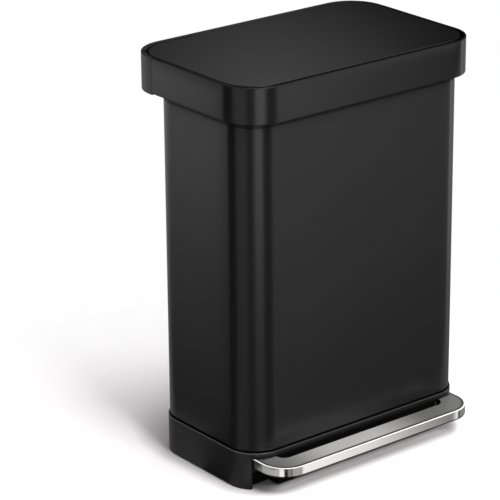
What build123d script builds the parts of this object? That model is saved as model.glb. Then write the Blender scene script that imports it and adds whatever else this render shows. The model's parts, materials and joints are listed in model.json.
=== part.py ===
from build123d import *
import os
from math import cos, radians, sin, sqrt, tan

# A free-standing pedal bin: a bent sheet body on a moulded base, a rim with a flush lid,
# and a foot pedal that lifts the lid through a lever, a push rod and a crank.
# Millimetres. X is the width, the front faces -Y, Z is up from the floor.
# The origin is on the floor, in the middle of the width and of the whole depth.

# Body, a sheet wrap with rounded corners
BODY_WIDTH = 434.6
BODY_DEPTH = 238.5
BODY_CORNER = 50.0
BODY_SHEET = 1.0
BODY_FIT = 0.3
BODY_IN_RIM = 12.5

# Rim round the top
HEIGHT = 650.0
RIM_HEIGHT = 56.5
RIM_SIDE = 12.7
RIM_FRONT = 16.5
RIM_REAR = 45.0
RIM_CORNER = 60.0
RIM_EDGE = 1.5
BAND_SHEET = 1.2
BAND_LIP = 2.5
SEAM_GAP = 0.6

# Moulded collar between the body and the rim band
COLLAR_WALL = 2.5
COLLAR_FLANGE = 3.0
COLLAR_FIT = 0.1
COLLAR_LEDGE = 12.0
COLLAR_DROP = 12.0
CROSS_WALL = 6.0
CROSS_RISE = 20.0

# Moulded housing behind the lid hinge
HOUSING_DEPTH = 67.0
HOUSING_WALL = 3.0
HOUSING_FLOOR = 3.0
HOUSING_TOP = 2.0
MOUTH_NOTCH_GAP = 1.5
HOUSING_DROP = 2.0
HOUSING_LIP = 10.0
HOUSING_FLANGE = 3.0

# Lid
LID_SIDE_INSET = 6.0
LID_FRONT_INSET = 11.0
LID_REAR_GAP = 3.0
LID_CORNER = 56.0
LID_SHEET = 1.0
LID_SKIRT = 8.0
LID_EDGE = 1.5
TRAY_INSET = 1.5
TRAY_PLATE = 3.0
TRAY_WALL = 2.0
STUD_DIAMETER = 5.0
STUD_FIT = 0.3
STUD_TAIL = 1.0
NUT_WIDTH = 8.0
NUT_HEIGHT = 4.0
STUD_INSET = 45.0

# Lid hinge
LID_OPEN = 80.0
HINGE_BACK = 9.5
HINGE_DROP = 8.0
HINGE_ZONE = 220.0
HINGE_PIN = 6.0
ROLL_WALL_GAP = 6.3
ROLL_GAP = 0.4
ROLL_FRONT = 10.0
ROLL_BELOW = 8.0
ROLL_LIP = 2.2
ROLL_ROOF = 1.5
BEARING_WIDTH = 10.0
BEARING_RADIUS = 5.0
BEARING_SPREAD = 100.0
BEARING_GAP = 0.6
BUSH_WALL = 1.5
BUSH_LENGTH = 30.0
RUNNING_FIT = 0.05

# Crank under the lid and the push rod that lifts it
LEVER_RADIUS = 29.2
LEVER_SHEET = 4.0
LEVER_EYE = 5.0
LEVER_TAB = 30.0
LEVER_FLANGE = 28.0
LEVER_SCREW = 3.0
CRANK_PIN = 6.0
PIN_PLAY = 1.0
ROD_DIAMETER = 6.0
ROD_OFFSET = 25.0
FORK_CHEEK = 6.0
FORK_WALL = 4.0
FORK_BRIDGE = 7.0
FORK_SIDE_GAP = 2.0
ROD_SOCKET = 5.0

# Rod guides, damper and the inner cover over them
GUIDE_HEIGHT = 16.0
GUIDE_SIDE = 5.0
GUIDE_LOW = 60.0
GUIDE_HIGH = 30.0
GUIDE_BUSH = 2.0
GUIDE_FIT = 0.1
DAMPER_DIAMETER = 20.0
DAMPER_WALL = 1.8
DAMPER_LENGTH = 120.0
DAMPER_TOP_DROP = 140.0
DAMPER_ROD = 5.0
DAMPER_PISTON = 8.0
DAMPER_PISTON_FIT = 0.4
DAMPER_SEAT = 6.0
CLAMP_HEIGHT = 12.0
CLAMP_WALL = 3.0
YOKE_HEIGHT = 8.0
YOKE_WALL = 4.0
YOKE_DROP = 20.0
COVER_WIDTH = 124.0
COVER_REACH = 20.0
COVER_SHEET = 2.0
COVER_FLANGE = 10.0
COVER_TOP_GAP = 8.0

# Liner rim inside the mouth
LINER_INSET = 4.0
LINER_WALL = 3.0
LINER_CLEAR = 7.0
LINER_FLANGE = 14.0
LINER_GAP = 2.0

# Base
BASE_TOP = 62.0
BASE_PROUD = 2.3
BASE_WALL = 3.0
BASE_EDGE = 1.2
BASE_GAP = 3.0
BASE_NECK = 3.5
NECK_WALL = 1.5
SEAT_INSET = 0.7
SEAT_HEIGHT = 1.0
BASE_FLOOR_GAP = 2.0
DECK_PLATE = 3.0
DECK_GAP = 5.0
BAY_SIDE = 1.5
BAY_ARM_GAP = 4.5
BAY_RECESS = 2.0
BAY_SLOT = 25.0
SILL_HEIGHT = 18.0
BAY_LIP = 12.0
BAY_HEADROOM = 1.5
APRON_WALL = 9.0
FOOT_RADIUS = 10.0
FOOT_RECESS = 2.0
FOOT_INSET = 14.0
FOOT_BOSS = 12.0

# Pedal
PEDAL_REACH = 53.5
PEDAL_SIDE = 14.8
PEDAL_TOP = 52.0
PEDAL_THICK = 15.5
PEDAL_BAR = 37.5
PEDAL_ARM = 35.0
PEDAL_CORNER = 45.0
PEDAL_SLOT_CORNER = 14.0
PEDAL_SHEET = 1.2
PEDAL_EDGE = 1.0
PEDAL_TAIL = 22.0
AXLE_BACK = 73.0
AXLE_DIAMETER = 8.0
AXLE_EYE = 13.0
AXLE_BOSS = 12.0
AXLE_BOSS_GAP = 12.0
AXLE_END = 3.0
CLIP_WIDTH = 1.5
CLIP_RIM = 3.0
CROSS_PLATE = 3.0
CROSS_DEPTH = 24.0
CROSS_LEAD = 44.0
LIFT_WIDTH = 6.0
LIFT_HEIGHT = 9.0
LIFT_EYE = 7.0
SCREW_DIAMETER = 4.0
SCREW_HEAD = 8.0
SCREW_HEAD_HEIGHT = 3.0
SCREW_LENGTH = 8.0
SCREW_EDGE = 7.3
SCREW_COVER_GAP = 4.0
SCREW_DROP = 6.0

# Rubber parts
BUMPER_RADIUS = 5.0
BUMPER_GAP = 0.3
PEDAL_STOP = 14.0

# Depths and heights that follow from the sizes above
DEPTH = PEDAL_REACH + BODY_DEPTH + RIM_REAR
PEDAL_FRONT = -DEPTH / 2
BODY_FRONT = PEDAL_FRONT + PEDAL_REACH
BODY_BACK = BODY_FRONT + BODY_DEPTH
RIM_BACK = BODY_BACK + RIM_REAR
RIM_BOTTOM = HEIGHT - RIM_HEIGHT
BODY_BOTTOM = BASE_TOP + BASE_GAP
BODY_TOP = RIM_BOTTOM + BODY_IN_RIM
SEAM = RIM_BACK - HOUSING_DEPTH
WALL_INSIDE = BODY_BACK - BODY_SHEET

HINGE_Y = BODY_BACK + HINGE_BACK
HINGE_Z = HEIGHT - HINGE_DROP
ROLL_RADIUS = RIM_REAR - HINGE_BACK - HOUSING_WALL - ROLL_WALL_GAP
ROLL_TOP = sqrt(ROLL_RADIUS**2 - HINGE_DROP**2)
LID_BACK = HINGE_Y + ROLL_TOP - ROLL_LIP
LID_UNDER = HEIGHT - LID_SHEET
TRAY_UNDER = HEIGHT - LID_SKIRT - LID_SHEET

HALF_SWING = radians(LID_OPEN / 2)
ROD_LIFT = 2 * LEVER_RADIUS * sin(HALF_SWING)
ROD_Y = HINGE_Y - LEVER_RADIUS * (1 + cos(HALF_SWING)) / 2
CRANK_Y = HINGE_Y - LEVER_RADIUS * cos(HALF_SWING)
CRANK_Z = HINGE_Z - LEVER_RADIUS * sin(HALF_SWING)
FORK_SLOT = CRANK_PIN / 2 + PIN_PLAY
FORK_REACH = LEVER_RADIUS * (1 - cos(HALF_SWING)) / 2 + FORK_SLOT + FORK_WALL
FORK_HALF = LEVER_SHEET / 2 + FORK_SIDE_GAP + FORK_CHEEK
TAB_BACK = HINGE_Y - LEVER_RADIUS - FORK_REACH
TAB_FRONT = TAB_BACK - LEVER_TAB
FORK_DROP = LEVER_EYE / cos(HALF_SWING) + FORK_REACH * tan(HALF_SWING) + PIN_PLAY
ROD_TOP = CRANK_Z - FORK_DROP
COVER_FRONT = ROD_Y - COVER_REACH
COLLAR_TOP = BODY_TOP + COLLAR_FLANGE
LINER_TOP = TRAY_UNDER - LINER_CLEAR

AXLE_Y = BODY_FRONT + AXLE_BACK
AXLE_Z = PEDAL_TOP - PEDAL_THICK / 2
PEDAL_BOTTOM = PEDAL_TOP - PEDAL_THICK
LIFT_Z = AXLE_Z - ROD_LIFT / 2
LIFT_RISE = LIFT_EYE + FORK_WALL
LIFT_SWING = sqrt((ROD_Y - AXLE_Y)**2 + (ROD_LIFT / 2)**2) - (ROD_Y - AXLE_Y)
FOOT_REACH = LIFT_SWING + FORK_SLOT + FORK_WALL
ROD_BOTTOM = LIFT_Z + LIFT_RISE
DECK_BOTTOM = ROD_BOTTOM + FORK_BRIDGE + ROD_LIFT + DECK_GAP
DECK_TOP = DECK_BOTTOM + DECK_PLATE
ARM_OUTSIDE = BODY_WIDTH / 2 - PEDAL_SIDE
ARM_INSIDE = ARM_OUTSIDE - PEDAL_ARM
BAY_OUTSIDE = ARM_OUTSIDE + BAY_SIDE
BAY_APRON = ARM_INSIDE - BAY_ARM_GAP
BAY_BACK = BODY_FRONT + BAY_RECESS
SLOT_BACK = BODY_FRONT + BAY_SLOT
BAY_TOP = PEDAL_TOP + BAY_HEADROOM
BOSS_OUTSIDE = ARM_INSIDE - AXLE_BOSS_GAP
BOSS_INSIDE = BOSS_OUTSIDE - AXLE_BOSS
DAMPER_TOP = BODY_TOP - DAMPER_TOP_DROP
DAMPER_BOTTOM = DAMPER_TOP - DAMPER_LENGTH
GUIDE_TOP_Z = BODY_TOP - GUIDE_HIGH - GUIDE_HEIGHT
YOKE_Z = GUIDE_TOP_Z - YOKE_DROP - ROD_LIFT


def inset(outline, by):
    """The same rounded outline, drawn in on every side."""
    width, front, back, corner = outline
    return width - 2 * by, front + by, back - by, corner - by


def half_width(outline, y):
    """Half the width of a rounded outline at y, less where that runs into its corners."""
    width, front, back, corner = outline
    into = max(y - (back - corner), front + corner - y, 0)
    return width / 2 - corner + sqrt(corner ** 2 - into ** 2)


# Plan outlines: width, front, back, corner radius
BODY = (BODY_WIDTH, BODY_FRONT, BODY_BACK, BODY_CORNER)
RIM = (BODY_WIDTH + 2 * RIM_SIDE, BODY_FRONT - RIM_FRONT, RIM_BACK, RIM_CORNER)
LID = (RIM[0] - 2 * LID_SIDE_INSET, RIM[1] + LID_FRONT_INSET, LID_BACK, LID_CORNER)
MOUTH = inset(LID, -LID_REAR_GAP)


def prism(outline, bottom, top):
    """A rounded outline raised between two heights."""
    width, front, back, corner = outline
    plan = RectangleRounded(width, back - front, corner)
    return Pos(0, (front + back) / 2, bottom) * extrude(plan, top - bottom)


def tube(outline, wall, bottom, top):
    """A wall that follows a rounded outline on its inside."""
    return prism(outline, bottom, top) - prism(inset(outline, wall), bottom, top)


def block(left, right, front, back, bottom, top):
    middle = Pos((left + right) / 2, (front + back) / 2, (bottom + top) / 2)
    return middle * Box(right - left, back - front, top - bottom)


def bar_x(radius, left, right, y, z):
    return Pos((left + right) / 2, y, z) * Rot(0, 90, 0) * Cylinder(radius, right - left)


def bar_y(radius, front, back, x, z):
    return Pos(x, (front + back) / 2, z) * Rot(90, 0, 0) * Cylinder(radius, back - front)


def bar_z(radius, bottom, top, x, y):
    return Pos(x, y, (bottom + top) / 2) * Cylinder(radius, top - bottom)


def both_sides(shape):
    """A shape and its mirror image across the middle of the width."""
    return shape + mirror(shape, Plane.YZ)


def soften_top(shape, radius):
    return fillet(shape.edges().group_by(Axis.Z)[-1], radius)


def behind(shape, y):
    """What lies behind a depth."""
    box = shape.bounding_box()
    return shape & block(box.min.X, box.max.X, y, box.max.Y, box.min.Z, box.max.Z)


def before(shape, y):
    """What lies in front of a depth."""
    box = shape.bounding_box()
    return shape & block(box.min.X, box.max.X, box.min.Y, y, box.min.Z, box.max.Z)


def profile_x(points, left, right):
    """A closed outline of (y, z) points, raised along X."""
    plan = make_face(Polyline(*points, close=True))
    return extrude(Plane.YZ.offset(left) * plan, right - left)


def housing_screw_places():
    outer = BODY_WIDTH / 2 - BODY_CORNER - SCREW_EDGE
    inner = COVER_WIDTH / 2 + COVER_FLANGE + SCREW_HEAD / 2 + SCREW_COVER_GAP
    return [-outer, -inner, inner, outer]


def stud_places():
    side = LID[0] / 2 - STUD_INSET
    rows = (LID[1] + STUD_INSET, TAB_FRONT - STUD_INSET)
    return [(x, y) for x in (-side, 0, side) for y in rows]


def bearing_places():
    return [-BEARING_SPREAD, 0, BEARING_SPREAD]


def foot_places():
    side = BODY_WIDTH / 2 + BASE_PROUD - BASE_WALL - FOOT_INSET
    rows = (BODY_FRONT + BODY_CORNER, BODY_BACK - BODY_CORNER)
    return [(x, y) for x in (-side, side) for y in rows]


def make_body_shell():
    shell = tube(BODY, BODY_SHEET, BODY_BOTTOM, BODY_TOP)
    for x in housing_screw_places():
        reach = BODY_SHEET + BODY_FIT
        shell -= bar_y(SCREW_DIAMETER / 2, BODY_BACK - reach, BODY_BACK + reach, x, BODY_TOP - SCREW_DROP)
    return shell


def make_rim_band():
    band = soften_top(prism(RIM, RIM_BOTTOM, HEIGHT), RIM_EDGE)
    band -= prism(inset(RIM, BAND_SHEET), RIM_BOTTOM, HEIGHT - BAND_SHEET)
    band -= prism(inset(RIM, BAND_LIP), RIM_BOTTOM, HEIGHT)
    return before(band, SEAM - SEAM_GAP / 2)


def make_collar():
    outside = inset(RIM, BAND_SHEET + COLLAR_FIT)
    frame = tube(outside, COLLAR_WALL, RIM_BOTTOM, HEIGHT - COLLAR_DROP)
    frame += prism(outside, RIM_BOTTOM, RIM_BOTTOM + COLLAR_FLANGE) - prism(
        inset(BODY, -BODY_FIT), RIM_BOTTOM, RIM_BOTTOM + COLLAR_FLANGE
    )
    ledge = inset(BODY, COLLAR_LEDGE)
    frame += prism(outside, BODY_TOP, COLLAR_TOP) - prism(ledge, BODY_TOP, COLLAR_TOP)
    frame = before(frame, SEAM - SEAM_GAP / 2)
    half = ledge[0] / 2
    step = block(-half, half, COVER_FRONT - COLLAR_LEDGE, COVER_FRONT, BODY_TOP, COLLAR_TOP)
    wall = block(-half, half, COVER_FRONT - CROSS_WALL / 2, COVER_FRONT, BODY_TOP, COLLAR_TOP + CROSS_RISE)
    return frame + step + wall


def swing_notch(roof):
    """Room in the mouth for the lid's rear corners as they swing back past the hinge line."""
    swing = radians(LID_OPEN)
    depth = HEIGHT - HINGE_Z
    reach = (depth - (roof - HINGE_Z) * cos(swing)) / sin(swing)
    half = half_width(LID, HINGE_Y - reach) + MOUTH_NOTCH_GAP
    return block(-half, half, HINGE_Y - reach, HINGE_Y + reach + MOUTH_NOTCH_GAP, roof, HEIGHT)


def make_hinge_housing():
    bottom = RIM_BOTTOM - HOUSING_DROP
    floor = bottom + HOUSING_FLOOR
    roof = HEIGHT - HOUSING_TOP
    shell = soften_top(prism(RIM, bottom, HEIGHT), RIM_EDGE)
    shell -= prism(inset(RIM, HOUSING_WALL), floor, roof)
    shell -= prism(MOUTH, roof, HEIGHT)
    shell -= swing_notch(roof)
    shell -= prism(inset(BODY, -BODY_FIT), bottom, floor)
    shell = behind(shell, SEAM + SEAM_GAP / 2)
    half = HINGE_ZONE / 2
    shell += block(-half, half, HINGE_Y, RIM_BACK - HOUSING_WALL, HEIGHT - HOUSING_LIP, HEIGHT)
    shell -= bar_x(ROLL_RADIUS + ROLL_GAP, -half - ROLL_GAP, half + ROLL_GAP, HINGE_Y, HINGE_Z)
    flange_front = BODY_BACK + BODY_FIT
    flange = BODY_WIDTH / 2 - BODY_CORNER
    shell += block(-flange, flange, flange_front, flange_front + HOUSING_FLANGE, floor, BODY_TOP)
    for x in bearing_places():
        left = x - BEARING_WIDTH / 2
        right = x + BEARING_WIDTH / 2
        shell += block(left, right, HINGE_Y - BEARING_RADIUS, HINGE_Y + BEARING_RADIUS, floor, HINGE_Z)
        shell += bar_x(BEARING_RADIUS, left, right, HINGE_Y, HINGE_Z)
        shell -= bar_x(HINGE_PIN / 2, left, right, HINGE_Y, HINGE_Z)
    for x in housing_screw_places():
        shell -= bar_y(SCREW_DIAMETER / 2, WALL_INSIDE, WALL_INSIDE + SCREW_LENGTH, x, BODY_TOP - SCREW_DROP)
    return shell


def make_housing_screws():
    z = BODY_TOP - SCREW_DROP
    screws = []
    for x in housing_screw_places():
        head = bar_y(SCREW_HEAD / 2, WALL_INSIDE - SCREW_HEAD_HEIGHT, WALL_INSIDE, x, z)
        screws.append(head + bar_y(SCREW_DIAMETER / 2, WALL_INSIDE, WALL_INSIDE + SCREW_LENGTH, x, z))
    return Compound(children=screws)


def make_lid_panel():
    half = HINGE_ZONE / 2 + BEARING_GAP
    panel = soften_top(prism(LID, HEIGHT - LID_SKIRT, HEIGHT), LID_EDGE)
    panel -= prism(inset(LID, LID_SHEET), HEIGHT - LID_SKIRT, LID_UNDER)
    panel -= block(-half, half, HINGE_Y, LID_BACK + LID_SHEET, HEIGHT - LID_SKIRT, LID_UNDER)
    for x, y in stud_places():
        panel += bar_z(STUD_DIAMETER / 2, TRAY_UNDER - NUT_HEIGHT - STUD_TAIL, LID_UNDER, x, y)
    return panel


def make_lid_tray():
    outline = inset(LID, LID_SHEET + TRAY_INSET)
    half = HINGE_ZONE / 2 + BEARING_GAP
    tray = prism(outline, TRAY_UNDER, LID_UNDER)
    tray -= prism(inset(outline, TRAY_WALL), TRAY_UNDER + TRAY_PLATE, LID_UNDER)
    front = HINGE_Y - ROLL_FRONT - BEARING_GAP
    tray += block(-half, half, front - TRAY_WALL, front, TRAY_UNDER, LID_UNDER)
    tray -= block(-half, half, front, LID_BACK, TRAY_UNDER, LID_UNDER)
    for x, y in stud_places():
        tray -= bar_z(STUD_DIAMETER / 2 + STUD_FIT, TRAY_UNDER, LID_UNDER, x, y)
    for x, y in lever_screw_places():
        tray -= bar_z(LEVER_SCREW / 2, TRAY_UNDER, LID_UNDER, x, y)
    notch = FORK_HALF + FORK_SIDE_GAP
    return tray - block(-ROD_OFFSET - notch, -ROD_OFFSET + notch, TAB_BACK, front, TRAY_UNDER, LID_UNDER)


def make_lid_nuts():
    nuts = []
    for x, y in stud_places():
        hexagon = Pos(x, y, TRAY_UNDER - NUT_HEIGHT) * extrude(
            RegularPolygon(NUT_WIDTH / 2, 6, major_radius=False), NUT_HEIGHT
        )
        nuts.append(hexagon - bar_z(STUD_DIAMETER / 2, TRAY_UNDER - NUT_HEIGHT, TRAY_UNDER, x, y))
    return Compound(children=nuts)


def make_hinge_roll():
    half = HINGE_ZONE / 2
    bottom = HINGE_Z - ROLL_BELOW
    front = HINGE_Y - ROLL_FRONT
    back = HINGE_Y + ROLL_RADIUS
    round_bar = bar_x(ROLL_RADIUS, -half, half, HINGE_Y, HINGE_Z)
    roll = round_bar & block(-half, half, front, back, bottom, LID_UNDER)
    roll += round_bar & block(-half, half, LID_BACK, back, bottom, HEIGHT)
    roll -= bar_x(HINGE_PIN / 2 + RUNNING_FIT + BUSH_WALL, -half, half, HINGE_Y, HINGE_Z)
    roof = LID_UNDER - ROLL_ROOF
    for x in bearing_places():
        slot = BEARING_WIDTH / 2 + BEARING_GAP
        roll -= block(x - slot, x + slot, front, back, bottom, roof)
    crank = LEVER_SHEET / 2 + RUNNING_FIT
    roll -= block(-ROD_OFFSET - crank, -ROD_OFFSET + crank, front, HINGE_Y + LEVER_EYE, bottom, roof)
    return roll


def make_hinge_pin():
    half = BEARING_SPREAD + BEARING_WIDTH / 2
    return bar_x(HINGE_PIN / 2, -half, half, HINGE_Y, HINGE_Z)


def make_hinge_bushes():
    inside = HINGE_PIN / 2 + RUNNING_FIT
    middle = BEARING_SPREAD / 2
    left = middle - BUSH_LENGTH / 2
    right = middle + BUSH_LENGTH / 2
    bush = bar_x(inside + BUSH_WALL, left, right, HINGE_Y, HINGE_Z)
    bush -= bar_x(inside, left, right, HINGE_Y, HINGE_Z)
    return both_sides(bush)


def lever_screw_places():
    side = LEVER_FLANGE / 3
    rows = (TAB_FRONT + LEVER_EYE, TAB_BACK - LEVER_EYE)
    return [(-ROD_OFFSET + x, y) for x in (-side, side) for y in rows]


def make_lid_lever():
    left = -ROD_OFFSET - LEVER_SHEET / 2
    right = -ROD_OFFSET + LEVER_SHEET / 2
    arm = SlotCenterToCenter(LEVER_RADIUS, 2 * LEVER_EYE)
    middle = Pos((HINGE_Y + CRANK_Y) / 2, (HINGE_Z + CRANK_Z) / 2)
    lever = extrude(Plane.YZ.offset(left) * (middle * Rot(0, 0, LID_OPEN / 2) * arm), LEVER_SHEET)
    flange_bottom = TRAY_UNDER - LEVER_SHEET / 2
    lever += block(left, right, TAB_FRONT, HINGE_Y, flange_bottom - LEVER_SHEET / 2, TRAY_UNDER)
    side = LEVER_FLANGE / 2
    lever += block(-ROD_OFFSET - side, -ROD_OFFSET + side, TAB_FRONT, TAB_BACK, flange_bottom, TRAY_UNDER)
    lever -= bar_x(HINGE_PIN / 2 + RUNNING_FIT, left, right, HINGE_Y, HINGE_Z)
    lever -= bar_x(CRANK_PIN / 2, left, right, CRANK_Y, CRANK_Z)
    for x, y in lever_screw_places():
        lever -= bar_z(LEVER_SCREW / 2, flange_bottom, TRAY_UNDER, x, y)
    return lever


def make_lever_screws():
    under = TRAY_UNDER - LEVER_SHEET / 2
    screws = []
    for x, y in lever_screw_places():
        head = bar_z(LEVER_SCREW, under - LEVER_SCREW / 2, under, x, y)
        screws.append(head + bar_z(LEVER_SCREW / 2, under, TRAY_UNDER + TRAY_PLATE, x, y))
    return Compound(children=screws)


def make_crank_pin():
    return bar_x(CRANK_PIN / 2, -ROD_OFFSET - FORK_HALF, -ROD_OFFSET + FORK_HALF, CRANK_Y, CRANK_Z)


def make_fork(reach, pin_z, bottom, top, gap_bottom, gap_top):
    """Two slotted cheeks on a bridge: the pin of a swinging lever slides across in the slots."""
    left = -ROD_OFFSET - FORK_HALF
    right = -ROD_OFFSET + FORK_HALF
    gap = FORK_HALF - FORK_CHEEK
    fork = block(left, right, ROD_Y - reach, ROD_Y + reach, bottom, top)
    fork -= block(-ROD_OFFSET - gap, -ROD_OFFSET + gap, ROD_Y - reach, ROD_Y + reach, gap_bottom, gap_top)
    slot = SlotOverall(2 * (reach - FORK_WALL), 2 * FORK_SLOT)
    return fork - extrude(Plane.YZ.offset(left) * (Pos(ROD_Y, pin_z) * slot), right - left)


def make_rod_head():
    bottom = ROD_TOP - FORK_BRIDGE
    top = CRANK_Z + FORK_SLOT + FORK_WALL
    head = make_fork(FORK_REACH, CRANK_Z, bottom, top, ROD_TOP, top)
    return head - bar_z(ROD_DIAMETER / 2, bottom, bottom + ROD_SOCKET, *rod_place())


def make_rod_foot():
    bottom = LIFT_Z - FORK_SLOT - FORK_WALL
    top = ROD_BOTTOM + FORK_BRIDGE
    foot = make_fork(FOOT_REACH, LIFT_Z, bottom, top, bottom, ROD_BOTTOM)
    return foot - bar_z(ROD_DIAMETER / 2, top - ROD_SOCKET, top, *rod_place())


def rod_place():
    return -ROD_OFFSET, ROD_Y


def make_push_rod():
    bottom = ROD_BOTTOM + FORK_BRIDGE - ROD_SOCKET
    top = ROD_TOP - FORK_BRIDGE + ROD_SOCKET
    return bar_z(ROD_DIAMETER / 2, bottom, top, *rod_place())


def guide_bottoms():
    return [DECK_TOP + GUIDE_LOW, GUIDE_TOP_Z]


def make_guide_brackets():
    bush = ROD_DIAMETER / 2 + GUIDE_FIT + GUIDE_BUSH
    side = bush + GUIDE_SIDE
    brackets = []
    for bottom in guide_bottoms():
        top = bottom + GUIDE_HEIGHT
        bracket = block(-ROD_OFFSET - side, -ROD_OFFSET + side, ROD_Y - side, WALL_INSIDE, bottom, top)
        brackets.append(bracket - bar_z(bush, bottom, top, *rod_place()))
    return Compound(children=brackets)


def make_guide_bushes():
    inside = ROD_DIAMETER / 2 + GUIDE_FIT
    bushes = []
    for bottom in guide_bottoms():
        top = bottom + GUIDE_HEIGHT
        bush = bar_z(inside + GUIDE_BUSH, bottom, top, *rod_place())
        bushes.append(bush - bar_z(inside, bottom, top, *rod_place()))
    return Compound(children=bushes)


def damper_place():
    return ROD_OFFSET, ROD_Y


def make_damper_cylinder():
    outside = DAMPER_DIAMETER / 2
    bore = outside - DAMPER_WALL
    cylinder = bar_z(outside, DAMPER_BOTTOM, DAMPER_TOP, *damper_place())
    cylinder -= bar_z(bore, DAMPER_BOTTOM + DAMPER_WALL, DAMPER_TOP - DAMPER_WALL, *damper_place())
    return cylinder - bar_z(DAMPER_ROD / 2 + GUIDE_FIT, DAMPER_TOP - DAMPER_WALL, DAMPER_TOP, *damper_place())


def make_damper_piston():
    bottom = DAMPER_BOTTOM + DAMPER_SEAT
    bore = DAMPER_DIAMETER / 2 - DAMPER_WALL
    disc = bar_z(bore - DAMPER_PISTON_FIT, bottom, bottom + DAMPER_PISTON, *damper_place())
    return disc + bar_z(DAMPER_ROD / 2, bottom, YOKE_Z + YOKE_HEIGHT, *damper_place())


def make_damper_clamps():
    outside = DAMPER_DIAMETER / 2
    side = outside + CLAMP_WALL
    clamps = []
    for bottom in (DAMPER_BOTTOM + CLAMP_HEIGHT, DAMPER_TOP - 2 * CLAMP_HEIGHT):
        top = bottom + CLAMP_HEIGHT
        clamp = block(ROD_OFFSET - side, ROD_OFFSET + side, ROD_Y - side, WALL_INSIDE, bottom, top)
        clamps.append(clamp - bar_z(outside, bottom, top, *damper_place()))
    return Compound(children=clamps)


def make_rod_yoke():
    top = YOKE_Z + YOKE_HEIGHT
    side = ROD_OFFSET + ROD_DIAMETER / 2 + YOKE_WALL
    depth = ROD_DIAMETER / 2 + YOKE_WALL
    yoke = block(-side, side, ROD_Y - depth, ROD_Y + depth, YOKE_Z, top)
    yoke -= bar_z(ROD_DIAMETER / 2, YOKE_Z, top, *rod_place())
    return yoke - bar_z(DAMPER_ROD / 2, YOKE_Z, top, *damper_place())


def make_mechanism_cover():
    half = COVER_WIDTH / 2
    top = BODY_TOP - COVER_TOP_GAP
    inner = half - COVER_SHEET
    cover = block(-half, half, COVER_FRONT, WALL_INSIDE, DECK_TOP, top)
    cover -= block(-inner, inner, COVER_FRONT + COVER_SHEET, WALL_INSIDE, DECK_TOP, top)
    flange = block(half, half + COVER_FLANGE, WALL_INSIDE - COVER_SHEET, WALL_INSIDE, DECK_TOP, top)
    return cover + both_sides(flange)


def make_liner_rim():
    inner = inset(BODY, BODY_SHEET + LINER_INSET)
    outline = (inner[0], inner[1], COVER_FRONT - CROSS_WALL / 2 - LINER_GAP, inner[3])
    rim = tube(outline, LINER_WALL, COLLAR_TOP, LINER_TOP)
    return rim + tube(outline, LINER_FLANGE, LINER_TOP - LINER_WALL, LINER_TOP)


def bumper_places():
    side = BODY_WIDTH / 2 - BODY_SHEET - LINER_INSET - LINER_FLANGE / 2
    rows = (BODY_FRONT + BODY_CORNER, COVER_FRONT - BODY_CORNER)
    return [(x, y) for x in (-side, side) for y in rows]


def make_lid_bumpers():
    bottom = LINER_TOP + BUMPER_GAP
    return Compound(children=[bar_z(BUMPER_RADIUS, bottom, TRAY_UNDER, x, y) for x, y in bumper_places()])


def make_base():
    outside = inset(BODY, -BASE_PROUD)
    spigot = inset(BODY, BODY_SHEET + BODY_FIT)
    hollow = inset(BODY, BASE_NECK + NECK_WALL)
    ledge = BASE_TOP - BASE_WALL
    seat = BODY_BOTTOM - SEAT_HEIGHT
    apron_back = BAY_BACK + APRON_WALL
    base = soften_top(prism(outside, BASE_FLOOR_GAP, BASE_TOP), BASE_EDGE)
    base += prism(inset(BODY, BASE_NECK), ledge, seat)
    base += prism(inset(BODY, SEAT_INSET), seat, BODY_BOTTOM)
    base += prism(spigot, BODY_BOTTOM, DECK_TOP)
    base -= prism(hollow, BODY_BOTTOM, DECK_BOTTOM)
    base -= behind(prism(hollow, ledge, BODY_BOTTOM), apron_back)
    base -= behind(prism(inset(outside, BASE_WALL), BASE_FLOOR_GAP, ledge), apron_back)
    base -= pedal_bay(outside[1])
    base -= bar_z(ROD_DIAMETER / 2 + 2 * PIN_PLAY, DECK_BOTTOM, DECK_TOP, *rod_place())
    return base + both_sides(axle_boss()) + both_sides(foot_bosses(outside)) + both_sides(slot_sill(outside))


def pedal_bay(front):
    """The room in front of the apron wall, and the two slots beside it for the pedal arms."""
    slot = block(BAY_APRON, BAY_OUTSIDE, front, SLOT_BACK, BASE_FLOOR_GAP, BAY_TOP)
    room = block(-BAY_APRON, BAY_APRON, front, BAY_BACK, BASE_FLOOR_GAP, BASE_TOP - BAY_LIP)
    return room + both_sides(slot)


def slot_sill(outside):
    """A low wall behind an arm slot, from the apron round to the skirt."""
    top = BASE_FLOOR_GAP + SILL_HEIGHT
    inside = BAY_APRON - BASE_WALL
    skirt = half_width(outside, SLOT_BACK) - BASE_WALL / 2
    sill = block(inside, skirt, SLOT_BACK, SLOT_BACK + BASE_WALL, BASE_FLOOR_GAP, top)
    return sill + block(inside, BAY_APRON, BAY_BACK, SLOT_BACK, BASE_FLOOR_GAP, top)


def axle_boss():
    boss = block(BOSS_INSIDE, BOSS_OUTSIDE, AXLE_Y - AXLE_EYE, AXLE_Y + AXLE_EYE, AXLE_Z, DECK_BOTTOM)
    boss += bar_x(AXLE_EYE, BOSS_INSIDE, BOSS_OUTSIDE, AXLE_Y, AXLE_Z)
    return boss - bar_x(AXLE_DIAMETER / 2, BOSS_INSIDE, BOSS_OUTSIDE, AXLE_Y, AXLE_Z)


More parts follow.
